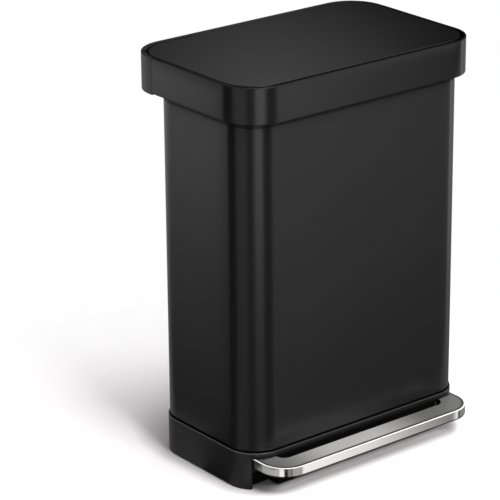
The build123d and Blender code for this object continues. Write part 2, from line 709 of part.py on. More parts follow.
def foot_bosses(outside):
    """Bosses on the right-hand skirt wall, each with a round recess for a foot."""
    wall = outside[0] / 2 - BASE_WALL / 2
    top = BASE_FLOOR_GAP + FOOT_BOSS
    bosses = Part()
    for x, y in foot_places():
        if x > 0:
            boss = bar_z(FOOT_BOSS, BASE_FLOOR_GAP, top, x, y)
            boss += block(x, wall, y - FOOT_BOSS, y + FOOT_BOSS, BASE_FLOOR_GAP, top)
            bosses += boss - bar_z(FOOT_RADIUS, BASE_FLOOR_GAP, BASE_FLOOR_GAP + FOOT_RECESS, x, y)
    return bosses


def make_base_feet():
    return Compound(children=[
        bar_z(FOOT_RADIUS, 0, BASE_FLOOR_GAP + FOOT_RECESS, x, y) for x, y in foot_places()
    ])


def pedal_frame(by, bottom, top, tail):
    """The flat U of the pedal, drawn in on every side that faces out."""
    corner = PEDAL_CORNER - by
    front = PEDAL_FRONT + by
    outline = (2 * (ARM_OUTSIDE - by), front, tail + 2 * PEDAL_CORNER, corner)
    slot_front = PEDAL_FRONT + PEDAL_BAR - by
    slot = (2 * (ARM_INSIDE + by), slot_front, tail + 2 * PEDAL_CORNER, PEDAL_SLOT_CORNER + by)
    return before(prism(outline, bottom, top) - prism(slot, bottom, top), tail)


def make_pedal_tread():
    tail = BODY_FRONT + PEDAL_TAIL
    tread = pedal_frame(0, PEDAL_BOTTOM, PEDAL_TOP, tail)
    rim = tread.edges().group_by(Axis.Z)[-1].filter_by(lambda edge: edge.center().Y < tail - PEDAL_EDGE)
    tread = fillet(rim, PEDAL_EDGE)
    return tread - pedal_frame(PEDAL_SHEET, PEDAL_BOTTOM, PEDAL_TOP - PEDAL_SHEET, tail)


def make_pedal_core():
    left = ARM_INSIDE + PEDAL_SHEET
    right = ARM_OUTSIDE - PEDAL_SHEET
    core = pedal_frame(PEDAL_SHEET, PEDAL_BOTTOM, PEDAL_TOP - PEDAL_SHEET, AXLE_Y)
    eye = bar_x(AXLE_EYE, left, right, AXLE_Y, AXLE_Z)
    core += both_sides(eye)
    bore = AXLE_DIAMETER / 2 + RUNNING_FIT + BUSH_WALL
    core -= both_sides(bar_x(bore, left, right, AXLE_Y, AXLE_Z))
    for x, y in lift_screw_places():
        core -= bar_z(SCREW_DIAMETER / 2, PEDAL_BOTTOM, PEDAL_BOTTOM + SCREW_LENGTH, x, y)
    return core


def make_axle_bushes():
    left = ARM_INSIDE + PEDAL_SHEET
    right = ARM_OUTSIDE - PEDAL_SHEET
    inside = AXLE_DIAMETER / 2 + RUNNING_FIT
    bush = bar_x(inside + BUSH_WALL, left, right, AXLE_Y, AXLE_Z)
    return both_sides(bush - bar_x(inside, left, right, AXLE_Y, AXLE_Z))


def make_pedal_axle():
    half = ARM_OUTSIDE + AXLE_END
    return bar_x(AXLE_DIAMETER / 2, -half, half, AXLE_Y, AXLE_Z)


def make_axle_clips():
    left = ARM_OUTSIDE - PEDAL_SHEET + BEARING_GAP
    right = left + CLIP_WIDTH
    clip = bar_x(AXLE_DIAMETER / 2 + CLIP_RIM, left, right, AXLE_Y, AXLE_Z)
    return both_sides(clip - bar_x(AXLE_DIAMETER / 2, left, right, AXLE_Y, AXLE_Z))


def lift_screw_places():
    x = (ARM_INSIDE + ARM_OUTSIDE) / 2
    y = AXLE_Y - CROSS_LEAD + CROSS_DEPTH / 2
    return [(-x, y), (x, y)]


def make_lift_lever():
    half = ARM_OUTSIDE - 2 * PEDAL_SHEET
    front = AXLE_Y - CROSS_LEAD
    bottom = PEDAL_BOTTOM - CROSS_PLATE
    lever = block(-half, half, front, front + CROSS_DEPTH, bottom, PEDAL_BOTTOM)
    left = -ROD_OFFSET - LIFT_WIDTH / 2
    right = -ROD_OFFSET + LIFT_WIDTH / 2
    lever += profile_x([
        (front, bottom - LIFT_HEIGHT), (front, bottom), (front + CROSS_DEPTH, bottom),
        (ROD_Y, LIFT_Z + LIFT_HEIGHT / 2), (ROD_Y, LIFT_Z - LIFT_HEIGHT / 2),
    ], left, right)
    lever += bar_x(LIFT_EYE, left, right, ROD_Y, LIFT_Z)
    lever -= bar_x(CRANK_PIN / 2, left, right, ROD_Y, LIFT_Z)
    for x, y in lift_screw_places():
        lever -= bar_z(SCREW_DIAMETER / 2, bottom, PEDAL_BOTTOM, x, y)
    return lever


def make_lift_screws():
    bottom = PEDAL_BOTTOM - CROSS_PLATE
    screws = []
    for x, y in lift_screw_places():
        head = bar_z(SCREW_HEAD / 2, bottom - SCREW_HEAD_HEIGHT, bottom, x, y)
        screws.append(head + bar_z(SCREW_DIAMETER / 2, bottom, PEDAL_BOTTOM + SCREW_LENGTH, x, y))
    return Compound(children=screws)


def make_lift_pin():
    return bar_x(CRANK_PIN / 2, -ROD_OFFSET - FORK_HALF, -ROD_OFFSET + FORK_HALF, ROD_Y, LIFT_Z)


def make_pedal_stops():
    x = (ARM_INSIDE + ARM_OUTSIDE) / 2
    half = PEDAL_STOP / 2
    bottom = PEDAL_TOP + BUMPER_GAP
    stop = block(x - half, x + half, BODY_FRONT, BODY_FRONT + PEDAL_STOP, bottom, BAY_TOP)
    return both_sides(stop)


PARTS = {
    "body_shell": make_body_shell,
    "rim_band": make_rim_band,
    "collar_frame": make_collar,
    "hinge_housing": make_hinge_housing,
    "housing_screws": make_housing_screws,
    "lid_panel": make_lid_panel,
    "lid_tray": make_lid_tray,
    "lid_nuts": make_lid_nuts,
    "lid_bumpers": make_lid_bumpers,
    "hinge_roll": make_hinge_roll,
    "hinge_pin": make_hinge_pin,
    "hinge_bushes": make_hinge_bushes,
    "lid_lever": make_lid_lever,
    "lever_screws": make_lever_screws,
    "crank_pin": make_crank_pin,
    "rod_head": make_rod_head,
    "rod_foot": make_rod_foot,
    "push_rod": make_push_rod,
    "guide_brackets": make_guide_brackets,
    "guide_bushes": make_guide_bushes,
    "damper_cylinder": make_damper_cylinder,
    "damper_piston": make_damper_piston,
    "damper_clamps": make_damper_clamps,
    "rod_yoke": make_rod_yoke,
    "mechanism_cover": make_mechanism_cover,
    "liner_rim": make_liner_rim,
    "base": make_base,
    "base_feet": make_base_feet,
    "pedal_tread": make_pedal_tread,
    "pedal_core": make_pedal_core,
    "axle_bushes": make_axle_bushes,
    "pedal_axle": make_pedal_axle,
    "axle_clips": make_axle_clips,
    "lift_lever": make_lift_lever,
    "lift_screws": make_lift_screws,
    "lift_pin": make_lift_pin,
    "pedal_stops": make_pedal_stops,
}

os.makedirs("parts", exist_ok=True)
for name, make in PARTS.items():
    export_step(make(), f"parts/{name}.step")
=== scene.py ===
import json
from math import cos, pi, radians, sin, tan

import bmesh
import bpy
from bpy.props import FloatProperty, FloatVectorProperty, IntProperty, PointerProperty
from mathutils import Matrix, Vector


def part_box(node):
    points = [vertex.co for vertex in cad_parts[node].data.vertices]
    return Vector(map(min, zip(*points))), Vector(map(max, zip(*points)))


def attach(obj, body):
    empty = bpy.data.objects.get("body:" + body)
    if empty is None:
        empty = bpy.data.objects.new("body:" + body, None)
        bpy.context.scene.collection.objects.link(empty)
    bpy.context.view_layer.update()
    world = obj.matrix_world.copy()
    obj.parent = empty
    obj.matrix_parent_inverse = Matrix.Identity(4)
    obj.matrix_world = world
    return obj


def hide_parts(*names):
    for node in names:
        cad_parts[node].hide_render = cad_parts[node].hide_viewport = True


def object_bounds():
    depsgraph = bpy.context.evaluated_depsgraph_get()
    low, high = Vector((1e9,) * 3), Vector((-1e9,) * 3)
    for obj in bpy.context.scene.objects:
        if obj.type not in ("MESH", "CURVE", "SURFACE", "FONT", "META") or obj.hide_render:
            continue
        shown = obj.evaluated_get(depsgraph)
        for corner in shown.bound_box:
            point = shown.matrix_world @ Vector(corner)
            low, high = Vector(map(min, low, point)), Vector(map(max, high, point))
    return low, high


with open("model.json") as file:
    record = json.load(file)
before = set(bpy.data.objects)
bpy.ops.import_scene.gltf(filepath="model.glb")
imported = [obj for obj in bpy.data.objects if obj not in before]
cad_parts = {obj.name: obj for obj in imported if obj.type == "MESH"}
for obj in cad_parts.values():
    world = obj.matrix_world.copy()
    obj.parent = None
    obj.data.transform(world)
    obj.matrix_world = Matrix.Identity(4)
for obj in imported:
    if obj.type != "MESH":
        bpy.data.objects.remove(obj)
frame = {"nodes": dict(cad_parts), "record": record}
CAD_LOW, CAD_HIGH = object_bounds()

bl_info = {
    "name": "Pedal bin",
    "version": (1, 0, 0),
    "blender": (4, 5, 0),
    "location": "3D View > Sidebar > Pedal bin",
    "description": "Dresses the packed pedal bin with sheet steel, mouldings and fasteners, in a white studio",
    "category": "Object",
}

# Meshes: gap that is welded, crease that stays sharp, most of a side that a rounded corner takes, and its steps
WELD_GAP = 0.00001
SHARP_ANGLE = radians(40)
CORNER_SHARE = 0.45
CORNER_STEPS = 5

# Screw heads: rounding and depth of the recess as shares of the head's height, and the angles along the rounding
HEAD_ROUNDING = 0.45
RECESS_DEPTH = 0.5
HEAD_ANGLES = (0.5, 1.0, pi / 2)

# Tread of a rubber foot: shares of its radius, with 1 for the bottom of a groove
FOOT_TREAD = ((0.86, 0), (0.74, 0), (0.70, 1), (0.62, 0), (0.40, 0), (0.36, 1), (0.28, 0))
# Dome of a lid bumper as a share of its height; ribs of a pedal stop, with their ends and dips as shares of a rib
DOME_RISE = 0.55
DOME_STEPS = 8
STOP_RIBS = 4
RIB_END = 0.7
RIB_GROOVE = 0.85

# Parts of the black coat painted dull and dark: eased edges of the painted shadow line measured from the rim's
# foot, and of the ledge from the rim's front
RIM_SHADOW_LINE = ((-0.0125, -0.0095), (0.0008, 0.0016))
RIM_SHADOW_SHARE = 0.6
LEDGE_END = (0.0105, 0.0110)
# Rolled edges are painted dull and dark too, as painted shade that hides the lamps' highlights on them: those whose
# normal's upward part lies between these
ROLLED_START = (0.06, 0.2)
ROLLED_END = (0.94, 0.99)
EDGE_SHADE_SHARE = 0.8

# Gap between the body's foot and the base's brim, then eased edges measured from the brim's top: of the painted
# highlight along the brim's edge, and of the painted shade in the seam above it
BASE_SEAM = 0.003
BRIM_HIGHLIGHT_LINE = ((-0.0022, -0.0014), (-0.0004, -0.0001))
SEAM_SHADE_LINE = ((-0.0003, 0.0), (0.005, 0.007))
# Part of the brim's painted highlight that is left at the front, and the run over which it comes up to full
BRIM_FRONT_SHARE = 0.35
BRIM_RUN = 0.03
# Pedal bay, painted in shade: clearance beside the pedal, where it ends at the back, and how softly it ends
# sideways, back and up
BAY_GAP = 0.001
BAY_BACK = -0.085
BAY_EASE = Vector((0.003, 0.01, 0.007))

# Pedal plate: eased edges of its top and of the painted dark line at the foot of its sides, then of the painted
# highlight on the lip and the painted dark line at the crease, from the outline inwards
TOP_START = (-0.0009, -0.0002)
FOOT_SHADE_END = (0.0016, 0.0024)
LIP_HIGHLIGHT_END = (0.0022, 0.0030)
CREASE_SHADE_END = (0.0064, 0.0072)
# Middle of the painted sheen on the top, lighter there and darker towards the ends, and how far it reaches to each
# side
SHEEN_MIDDLE = -0.04
SHEEN_REACH = (0.03, 0.16)

# Floor: reach of the painted contact shadow round the base, what is added to it behind the base, and its shade
CONTACT_SHADOW_REACH = 0.034
CONTACT_SHADOW_BEHIND = 0.13
CONTACT_SHADOW_LEVEL = 0.58
# Eased edges of places on the floor: from the base's back, across at its left, from its front, and beside the pedal
BEHIND_START = (-0.03, 0.03)
BEHIND_LEFT = (-0.27, -0.15)
AHEAD_END = (-0.012, 0.004)
PEDAL_HALF = (0.16, 0.19)
# White paper that only the camera sees: its share ahead of the base, which is painted light that lightens the
# pedal's shadow, and the distances over which it takes over
PEDAL_SHADOW_LIFT = 0.16
PAPER_START = (0.3, 0.9)
# Distances over which the bands below come up; close by, the most of a band, its share and the level added
BAND_START = (0.15, 1.6)
BAND_NEAR_MOST = 0.5
BAND_NEAR_SHARE = 0.5
BAND_NEAR_LEAST = 0.03
# What reflections see on the floor: degrees to the right of the camera's side of the front corner, and a level
FLOOR_BANDS = (
    (-180, 0.45), (-143, 0.45), (-141, 0.60), (-104, 0.60), (-103, 0.03), (-66, 0.03), (-60, 0.50), (-25, 0.50),
    (-21, 0.12), (-1, 0.12), (4, 1.45), (29, 1.45), (32, 0.04), (60, 0.04), (66, 0.65), (100, 0.65), (104, 1.0),
    (128, 1.0), (131, 0.20), (146, 0.45), (180, 0.45),
)
# The same for the low card round the pedal: first about its left bend, then along its front in metres
BEND_BANDS = (
    (-75.5, 0.20), (-72, 0.45), (-16, 0.60), (-15, 1.25), (-3, 1.25), (-2, 0.02), (7, 0.02), (8.4, 0.33),
    (16.5, 0.33), (17, 0.12), (20, 0.12), (21, 0.50), (51, 0.50), (54.6, 1.25),
)
FRONT_BANDS = (
    (-0.13, 1.25), (-0.08, 1.20), (0.01, 1.00), (0.055, 0.76), (0.10, 0.55), (0.148, 0.385), (0.18, 0.28),
    (0.186, 1.2), (0.198, 1.2), (0.203, 0.15), (0.24, 0.15),
)
# Level at the back end of that card, and the heights between which it stands
PEDAL_CARD_BACK = 0.2
PEDAL_CARD_HEIGHTS = (0.001, 0.038)

# Cards for the flat sides: levels at the near and far end of the left card, then of the front card
FLAT_CARD_LEVELS = {"body_shell": ((1.0, 1.0), (1.10, 0.68)), "rim_band": ((0.75, 1.4), (1.15, 0.1))}
# Where the left card ends, where the front card has come down to its far level, and where it ends
LEFT_CARD_END = 0.45
FRONT_CARD_DIM = 0.3
FRONT_CARD_END = 0.6
# Level up each card: a constant, then what the height and its square add, each times its number
LEFT_CARD_RISE = (0.10, 0.55, 1.05)
FRONT_CARD_RISE = (0.155, 0.775, 0.0)
# Lowest foot of the front card, and the level of the strip at the rim's foot
FRONT_CARD_LOWEST = 0.04
DARK_STRIP = 0.05

# Card for the lid: half its width, then place, squeeze and levels of the soft patch by distance from its middle
LID_CARD_HALF = 0.7
PATCH_PLACE = (-0.07, 0.248)
PATCH_SQUEEZE = (1.3, 1.83)
PATCH_LEVELS = ((0.0, 0.32), (0.16, 0.18), (0.32, 0.09), (0.38, 0.04), (0.46, 0.0))

# Lamps: degrees right of the camera's side, degrees above the floor, edge in metres, watts, seen in reflections
LAMPS = (
    ("key", 30, 51, 0.7, 47, True), ("front", 0, 45, 1.2, 7, False), ("side", 90, 25, 1.2, 34, False),
    ("high_side", 116, 73, 1.6, 30, True), ("high", 30, 75, 1.6, 16, True),
)
# Where the lamps look, the floor's sides, how far the camera sees, and white
LAMP_AIM = Vector((0, 0, 0.2))
FLOOR_STEPS = 128
CLIP_END = 100.0
WHITE = (1.0, 1.0, 1.0, 1.0)


# Sizes, colours and studio settings

def length(name, description, default):
    return FloatProperty(name=name, description=description, default=default, unit="LENGTH", precision=5)


def colour(name, description, level, tint=(1.0, 1.0, 1.0)):
    default = tuple(level * part for part in tint)
    return FloatVectorProperty(name=name, description=description, default=default, subtype="COLOR")


class SheetSizes(bpy.types.PropertyGroup):
    """Sheet-steel body and rim."""
    body_corner: length("Body corner", "Outer radius of the body's upright corners", 0.050)
    body_sheet: length("Body sheet", "Thickness of the body sheet", 0.001)
    rim_corner: length("Rim corner", "Outer radius of the rim's corners", 0.060)
    rim_sheet: length("Rim sheet", "Thickness of the rim band", 0.0012)
    rim_lip: length("Rim lip", "How far the top of the band turns in", 0.0025)
    rim_edge: length("Rim edge", "Rounding of the band's top edge", 0.0015)
    cut_edge: length("Cut edge", "Rounding of the cut edges of the sheet", 0.0004)
    corner_steps: IntProperty(name="Corner steps", description="Faces in a quarter turn", default=28)


class PedalSizes(bpy.types.PropertyGroup):
    """Bent pedal plate."""
    corner: length("Corner", "Outer radius of the two bends", 0.045)
    slot_corner: length("Slot corner", "Inner radius of the two bends", 0.014)
    bar: length("Bar", "Depth of the front bar", 0.0375)
    arm: length("Arm", "Width of each arm", 0.035)
    sheet: length("Sheet", "Thickness of the plate", 0.0012)
    edge: length("Edge", "Rounding of the upper edge", 0.0007)
    cut_edge: length("Cut edge", "Rounding of the lower edge", 0.0004)


class FastenerSizes(bpy.types.PropertyGroup):
    """Screws, nuts, studs and rubber pads."""
    recess_width: FloatProperty(
        name="Recess width", description="Arm width of the cross recess, as a share of the head", default=0.2)
    recess_reach: FloatProperty(
        name="Recess reach", description="Reach of the cross recess, as a share of the head", default=0.62)
    head_height: length("Head height", "Height of the larger screw heads", 0.003)
    shank: length("Shank", "Diameter of the larger screws", 0.004)
    small_head_height: length("Small head height", "Height of the crank's screw heads", 0.0015)
    small_shank: length("Small shank", "Diameter of the crank's screws", 0.003)
    nut_bore: length("Nut bore", "Bore of the lid nuts", 0.005)
    chamfer: length("Chamfer", "Chamfer of nuts and pads", 0.0006)
    groove: length("Groove", "Depth of the groove in a rubber pad", 0.0006)
    round_steps: IntProperty(name="Round steps", description="Faces round a screw or a pad", default=48)


class BinColours(bpy.types.PropertyGroup):
    """Colours of the finishes."""
    satin_black: colour("Satin black", "Coat on the steel sheet", 0.0042)
    moulded_black: colour("Moulded black", "Black mouldings", 0.006)
    stainless: colour("Stainless", "Brushed pedal plate", 0.72, (1.0, 0.99, 0.975))
    zinc: colour("Zinc", "Plated steel inside", 0.55, (0.98, 1.0, 1.02))
    nylon: colour("Nylon", "Bushes and rod ends", 0.60, (1.0, 0.985, 0.92))
    rubber: colour("Rubber", "Feet, bumpers and stops", 0.018)
    floor: colour("Floor", "Studio floor", 0.90, (1.0, 0.97, 0.98))


class StudioSettings(bpy.types.PropertyGroup):
    """Camera, lamps and cards."""
    camera_place: FloatVectorProperty(
        name="Camera place", description="Where the camera stands", subtype="TRANSLATION", unit="LENGTH",
        default=(-2.43143, -2.92832, 1.76833))
    yaw: FloatProperty(
        name="Yaw", description="Turn of the view to the right of +Y", subtype="ANGLE", default=radians(38.2296))
    pitch: FloatProperty(
        name="Pitch", description="Tilt of the view below level", subtype="ANGLE", default=radians(20.886))
    roll: FloatProperty(name="Roll", description="Roll of the camera", subtype="ANGLE", default=radians(-0.5006))
    lens: FloatProperty(name="Lens", description="Focal length", default=187.124, unit="CAMERA")
    floor_radius: length("Floor radius", "Reach of the floor", 14.0)
    lamp_distance: length("Lamp distance", "Distance of the soft lamps", 2.4)
    card_distance: length("Card distance", "Distance of the card behind the bin", 0.45)
    left_card: length("Left card", "Where the card of the left side stands", -0.30)
    front_card: length("Front card", "Where the card of the front stands", -0.20)
    rim_line: length("Rim line", "Height of the cards' dark strip at the rim's foot", 0.005)
    pedal_card: length("Pedal card", "Gap between the pedal and its card", 0.03)
    room_level: FloatProperty(name="Room level", description="Level of the even light of the room", default=0.36)


# Shader expressions

class Value:
    """A socket in an expression; arithmetic on it adds Math nodes."""

    def __init__(self, finish, socket):
        self.finish = finish
        self.socket = socket

    def math(self, operation, first, second):
        sockets = {"Value": first, "Value_001": second}
        return self.finish.add("ShaderNodeMath", {"operation": operation}, sockets, "Value")

    def __add__(self, other):
        return self.math("ADD", self, other)

    def __radd__(self, other):
        return self.math("ADD", other, self)

    def __sub__(self, other):
        return self.math("SUBTRACT", self, other)

    def __rsub__(self, other):
        return self.math("SUBTRACT", other, self)

    def __mul__(self, other):
        return self.math("MULTIPLY", self, other)

    def __rmul__(self, other):
        return self.math("MULTIPLY", other, self)

    def __truediv__(self, other):
        return self.math("DIVIDE", self, other)

    def __pow__(self, other):
        return self.math("POWER", self, other)

    def __abs__(self):
        return self.math("ABSOLUTE", self, 0.0)

    def larger(self, other):
        return self.math("MAXIMUM", self, other)

    def smaller(self, other):
        return self.math("MINIMUM", self, other)


class Finish:
    """The node tree of a material or of the world, with one method that adds any node."""

    def __init__(self, owner):
        self.owner = owner
        owner.use_nodes = True
        self.tree = owner.node_tree
        self.tree.nodes.clear()

    def add(self, kind, settings, sockets, output):
        """Adds a node: its settings first, then the values or links of its sockets."""
        node = self.tree.nodes.new(kind)
        for name, setting in settings.items():
            if name == "stops":
                self.set_stops(node.color_ramp.elements, setting)
            else:
                setattr(node, name, setting)
        for name, term in sockets.items():
            socket = self.find(node.inputs, name)
            if isinstance(term, Value):
                self.tree.links.new(term.socket, socket)
            else:
                socket.default_value = term
        return Value(self, self.find(node.outputs, output)) if output else None

    @staticmethod
    def find(sockets, name):
        return next(s for s in sockets if name in (s.identifier, s.name))

    @staticmethod
    def set_stops(elements, stops):
        while len(elements) < len(stops):
            elements.new(1.0)
        for element, (position, level) in zip(elements, stops):
            element.position = position
            element.color = (level, level, level, 1.0)

    def place(self):
        """Where a point lies on its piece, in metres."""
        return self.add("ShaderNodeTexCoord", {}, {}, "Object")

    def stretch(self, vector, scale):
        settings = {"operation": "MULTIPLY"}
        return self.add("ShaderNodeVectorMath", settings, {"Vector": vector, "Vector_001": scale}, "Vector")

    def axes(self, vector):
        node = self.add("ShaderNodeSeparateXYZ", {}, {"Vector": vector}, "X").socket.node
        return [Value(self, self.find(node.outputs, axis)) for axis in "XYZ"]

    def noise(self, vector, scale, detail=2.0, roughness=0.5):
        sockets = {"Vector": vector, "Scale": scale, "Detail": detail, "Roughness": roughness}
        return self.add("ShaderNodeTexNoise", {}, sockets, "Fac")

    def cells(self, vector, scale, output="Distance"):
        return self.add("ShaderNodeTexVoronoi", {}, {"Vector": vector, "Scale": scale}, output)

    def step(self, value, low, high):
        """0 below the low end, 1 above the high end, eased between."""
        sockets = {"Value": value, "From Min": low, "From Max": high}
        return self.add("ShaderNodeMapRange", {"interpolation_type": "SMOOTHSTEP"}, sockets, "Result")

    def past(self, value, origin, edge):
        """0 before an eased edge and 1 past it; the edge is a pair measured from an origin."""
        return self.step(value, origin + edge[0], origin + edge[1])

    def between(self, value, origin, edges):
        """1 between two eased edges and 0 outside them."""
        return self.past(value, origin, edges[0]) * (1.0 - self.past(value, origin, edges[1]))

    def blend(self, factor, first, second):
        settings = {"data_type": "RGBA"}
        sockets = {"Factor_Float": factor, "A_Color": first, "B_Color": second}
        return self.add("ShaderNodeMix", settings, sockets, "Result_Color")

    def bump(self, height, depth, strength=1.0):
        sockets = {"Height": height, "Distance": depth, "Strength": strength}
        return self.add("ShaderNodeBump", {}, sockets, "Normal")

    def ray(self, kind):
        return self.add("ShaderNodeLightPath", {}, {}, kind)

    def glow(self, level):
        return self.add("ShaderNodeEmission", {}, {"Color": level, "Strength": 1.0}, "Emission")

    def principled(self, sockets):
        return self.add("ShaderNodeBsdfPrincipled", {}, sockets, "BSDF")

    def mix(self, factor, first, second):
        sockets = {"Fac": factor, "Shader": first, "Shader_001": second}
        return self.add("ShaderNodeMixShader", {}, sockets, "Shader")

    def surface(self, shader):
        self.add("ShaderNodeOutputMaterial", {}, {"Surface": shader}, None)
        return self.owner


def new_finish(name):
    return Finish(bpy.data.materials.new(name))


def shade(rgb, factor):
    return tuple(min(1.0, part * factor) for part in rgb) + (1.0,)


# Finishes

def outline_gap(f, place, low, high, corner):
    """How far a point lies outside a box with rounded corners, seen from above."""
    middle, half = (low + high) / 2, (high - low) / 2
    across, along, _ = f.axes(place)
    over_x = abs(across - middle.x) - (half.x - corner)
    over_y = abs(along - middle.y) - (half.y - corner)
    out_x, out_y = over_x.larger(0.0), over_y.larger(0.0)
    return (out_x * out_x + out_y * out_y) ** 0.5 + over_x.larger(over_y).smaller(0.0) - corner


def satin_black_coat(colours, foot, front):
    """A thin satin coat on steel: orange peel and cloudy sheen, with painted shade, dull and dark, on rolled edges,
    where it hides the lamps' highlights, and in a painted shadow line at the rim's foot.
    """
    f = new_finish("satin_black_coat")
    place = f.place()
    cloud = f.noise(place, scale=7.0, detail=3.0)
    peel = f.noise(place, scale=1400.0, detail=2.0)
    speck = f.step(f.noise(place, scale=2600.0, detail=1.0), 0.66, 0.74)
    dust = f.step(f.noise(place, scale=320.0, detail=4.0, roughness=0.7), 0.62, 0.80) * 0.35
    black = f.blend(cloud, shade(colours.satin_black, 0.85), shade(colours.satin_black, 1.15))
    black = f.blend(speck * 0.25, black, shade(colours.satin_black, 2.2))
    black = f.blend(dust * 0.3, black, shade(colours.satin_black, 2.0))
    coat = f.principled({
        "Base Color": black,
        "Roughness": 0.22 + cloud * 0.03 + dust * 0.05 + peel * 0.015,
        "Normal": f.bump(peel, depth=0.00002, strength=0.35),
    })
    # Painted shade: a darker, duller copy of the coat
    painted_shade = f.principled({
        "Base Color": shade(colours.satin_black, 0.5), "Roughness": 0.7, "Specular IOR Level": 0.1})
    _, along, up = f.axes(place)
    # Painted shadow line at the rim's foot
    rim_shadow_line = f.between(up, foot, RIM_SHADOW_LINE) * RIM_SHADOW_SHARE
    tilt = f.axes(f.add("ShaderNodeTexCoord", {}, {}, "Normal"))[2]
    off_ledge = f.past(along, front, LEDGE_END)
    flat_top = f.past(tilt, 0.0, ROLLED_END) * off_ledge
    # Rolled edges, and flat tops on the ledge by the rim's front, get painted shade that hides the lamps'
    # highlights on them
    edge_shade = f.past(tilt, 0.0, ROLLED_START) * (1.0 - flat_top) * EDGE_SHADE_SHARE
    return f.surface(f.mix(rim_shadow_line.larger(edge_shade), coat, painted_shade))


def grained_moulding(colours, bay, brim):
    """Black moulding with a spark-eroded grain; a painted highlight along the brim, and painted shade, darker and
    duller, in the seam above it and in the pedal bay.
    """
    f = new_finish("grained_moulding")
    place = f.place()
    grain = f.noise(place, scale=900.0, detail=3.0, roughness=0.65)
    pits = f.cells(place, scale=1500.0)
    cloud = f.noise(place, scale=9.0, detail=2.0)
    black = f.blend(grain, shade(colours.moulded_black, 0.7), shade(colours.moulded_black, 1.3))
    across, along, up = f.axes(place)
    from_front = f.step(along, bay.y - BRIM_RUN, bay.y)
    # Painted highlight along the brim's rounded edge, weaker at the front
    brim_highlight = f.between(up, brim, BRIM_HIGHLIGHT_LINE) * (BRIM_FRONT_SHARE + from_front * (1.0 - BRIM_FRONT_SHARE))
    black = f.blend(brim_highlight, black, shade(colours.moulded_black, 9.0))
    texture = f.bump(grain * 0.7 + pits * 0.3, depth=0.00005, strength=0.4)
    usual = f.principled({
        "Base Color": black, "Roughness": 0.33 + grain * 0.08 + cloud * 0.04, "Normal": texture})
    # Painted shade: a darker, duller copy of the moulding, for the seam and the pedal bay
    painted_shade_black = f.principled({
        "Base Color": shade(colours.moulded_black, 0.3), "Roughness": 0.6 + grain * 0.1, "Normal": texture,
        "Specular IOR Level": 0.06})
    beside = f.step(abs(across), bay.x, bay.x + BAY_EASE.x)
    behind = f.step(along, bay.y, bay.y + BAY_EASE.y)
    above = f.step(up, bay.z, bay.z + BAY_EASE.z)
    bay_shade = (1.0 - beside) * (1.0 - behind) * (1.0 - above)
    seam_shade = f.between(up, brim, SEAM_SHADE_LINE)
    return f.surface(f.mix(seam_shade.larger(bay_shade), usual, painted_shade_black))


def brushed_stainless(colours, low, high, bend):
    """Stainless plate brushed along its run; its top has a painted sheen, lighter in the middle and darker towards
    the ends, a painted highlight on the lip, and painted dark lines at the crease and along the foot of the sides.
    """
    f = new_finish("brushed_stainless")
    place = f.place()
    across, _, up = f.axes(place)
    on_arm = f.step(abs(across), high.x - bend, high.x - bend * 0.35)
    bar_lines = f.noise(f.stretch(place, (9.0, 2600.0, 2600.0)), scale=1.0, detail=3.0, roughness=0.7)
    arm_lines = f.noise(f.stretch(place, (2600.0, 9.0, 2600.0)), scale=1.0, detail=3.0, roughness=0.7)
    lines = bar_lines * (1.0 - on_arm) + arm_lines * on_arm
    long_lines = f.noise(f.stretch(place, (2.5, 700.0, 700.0)), scale=1.0, detail=2.0)
    cloud = f.noise(place, scale=26.0, detail=2.0)
    steel = f.blend(lines, shade(colours.stainless, 0.80), shade(colours.stainless, 1.12))
    steel = f.blend(long_lines * 0.35, steel, shade(colours.stainless, 0.86))
    on_top = f.past(up, high.z, TOP_START)
    # Painted sheen on the top: lighter round its middle, darker towards its ends
    off_sheen = f.past(abs(across - SHEEN_MIDDLE), 0.0, SHEEN_REACH)
    painted_shade = f.blend(lines, shade(colours.stainless, 0.15), shade(colours.stainless, 0.25))
    painted_sheen = f.blend(lines, shade(colours.stainless, 0.60), shade(colours.stainless, 0.76))
    steel = f.blend(on_top, steel, f.blend(off_sheen, painted_sheen, painted_shade))
    inset = 0.0 - outline_gap(f, place, low, high + Vector((0, bend, 0)), bend)
    # Painted highlight on the lip along the top's outer edge
    lip_highlight = on_top * (1.0 - f.past(inset, 0.0, LIP_HIGHLIGHT_END))
    # Painted dark line at the crease just inside the lip
    crease_shade = on_top * f.between(inset, 0.0, (LIP_HIGHLIGHT_END, CREASE_SHADE_END))
    # Painted dark line along the foot of the sides
    foot = 1.0 - f.past(up, low.z, FOOT_SHADE_END)
    steel = f.blend(lip_highlight, steel, shade(colours.stainless, 0.85))
    steel = f.blend(foot.larger(crease_shade), steel, shade(colours.stainless, 0.06))
    return f.surface(f.principled({
        "Base Color": steel,
        "Metallic": 1.0 - on_top * 0.55 - lip_highlight * 0.45,
        "Roughness": 0.11 + lines * 0.05 + on_top * (0.22 + cloud * 0.06),
        "Normal": f.bump(lines, depth=0.00006, strength=0.55),
    }))


def zinc_plate(colours):
    """Zinc-plated steel: faint crystal cells and a dull shine."""
    f = new_finish("zinc_plate")
    place = f.place()
    cell = f.axes(f.cells(place, scale=260.0, output="Color"))[0]
    haze = f.noise(place, scale=60.0, detail=3.0)
    steel = f.blend(cell, shade(colours.zinc, 0.85), shade(colours.zinc, 1.12))
    steel = f.blend(haze * 0.3, steel, shade(colours.zinc, 0.7))
    return f.surface(f.principled({
        "Base Color": steel,
        "Metallic": 1.0,
        "Roughness": 0.30 + haze * 0.14 + cell * 0.05,
        "Normal": f.bump(f.noise(place, scale=700.0), depth=0.00004, strength=0.3),
    }))


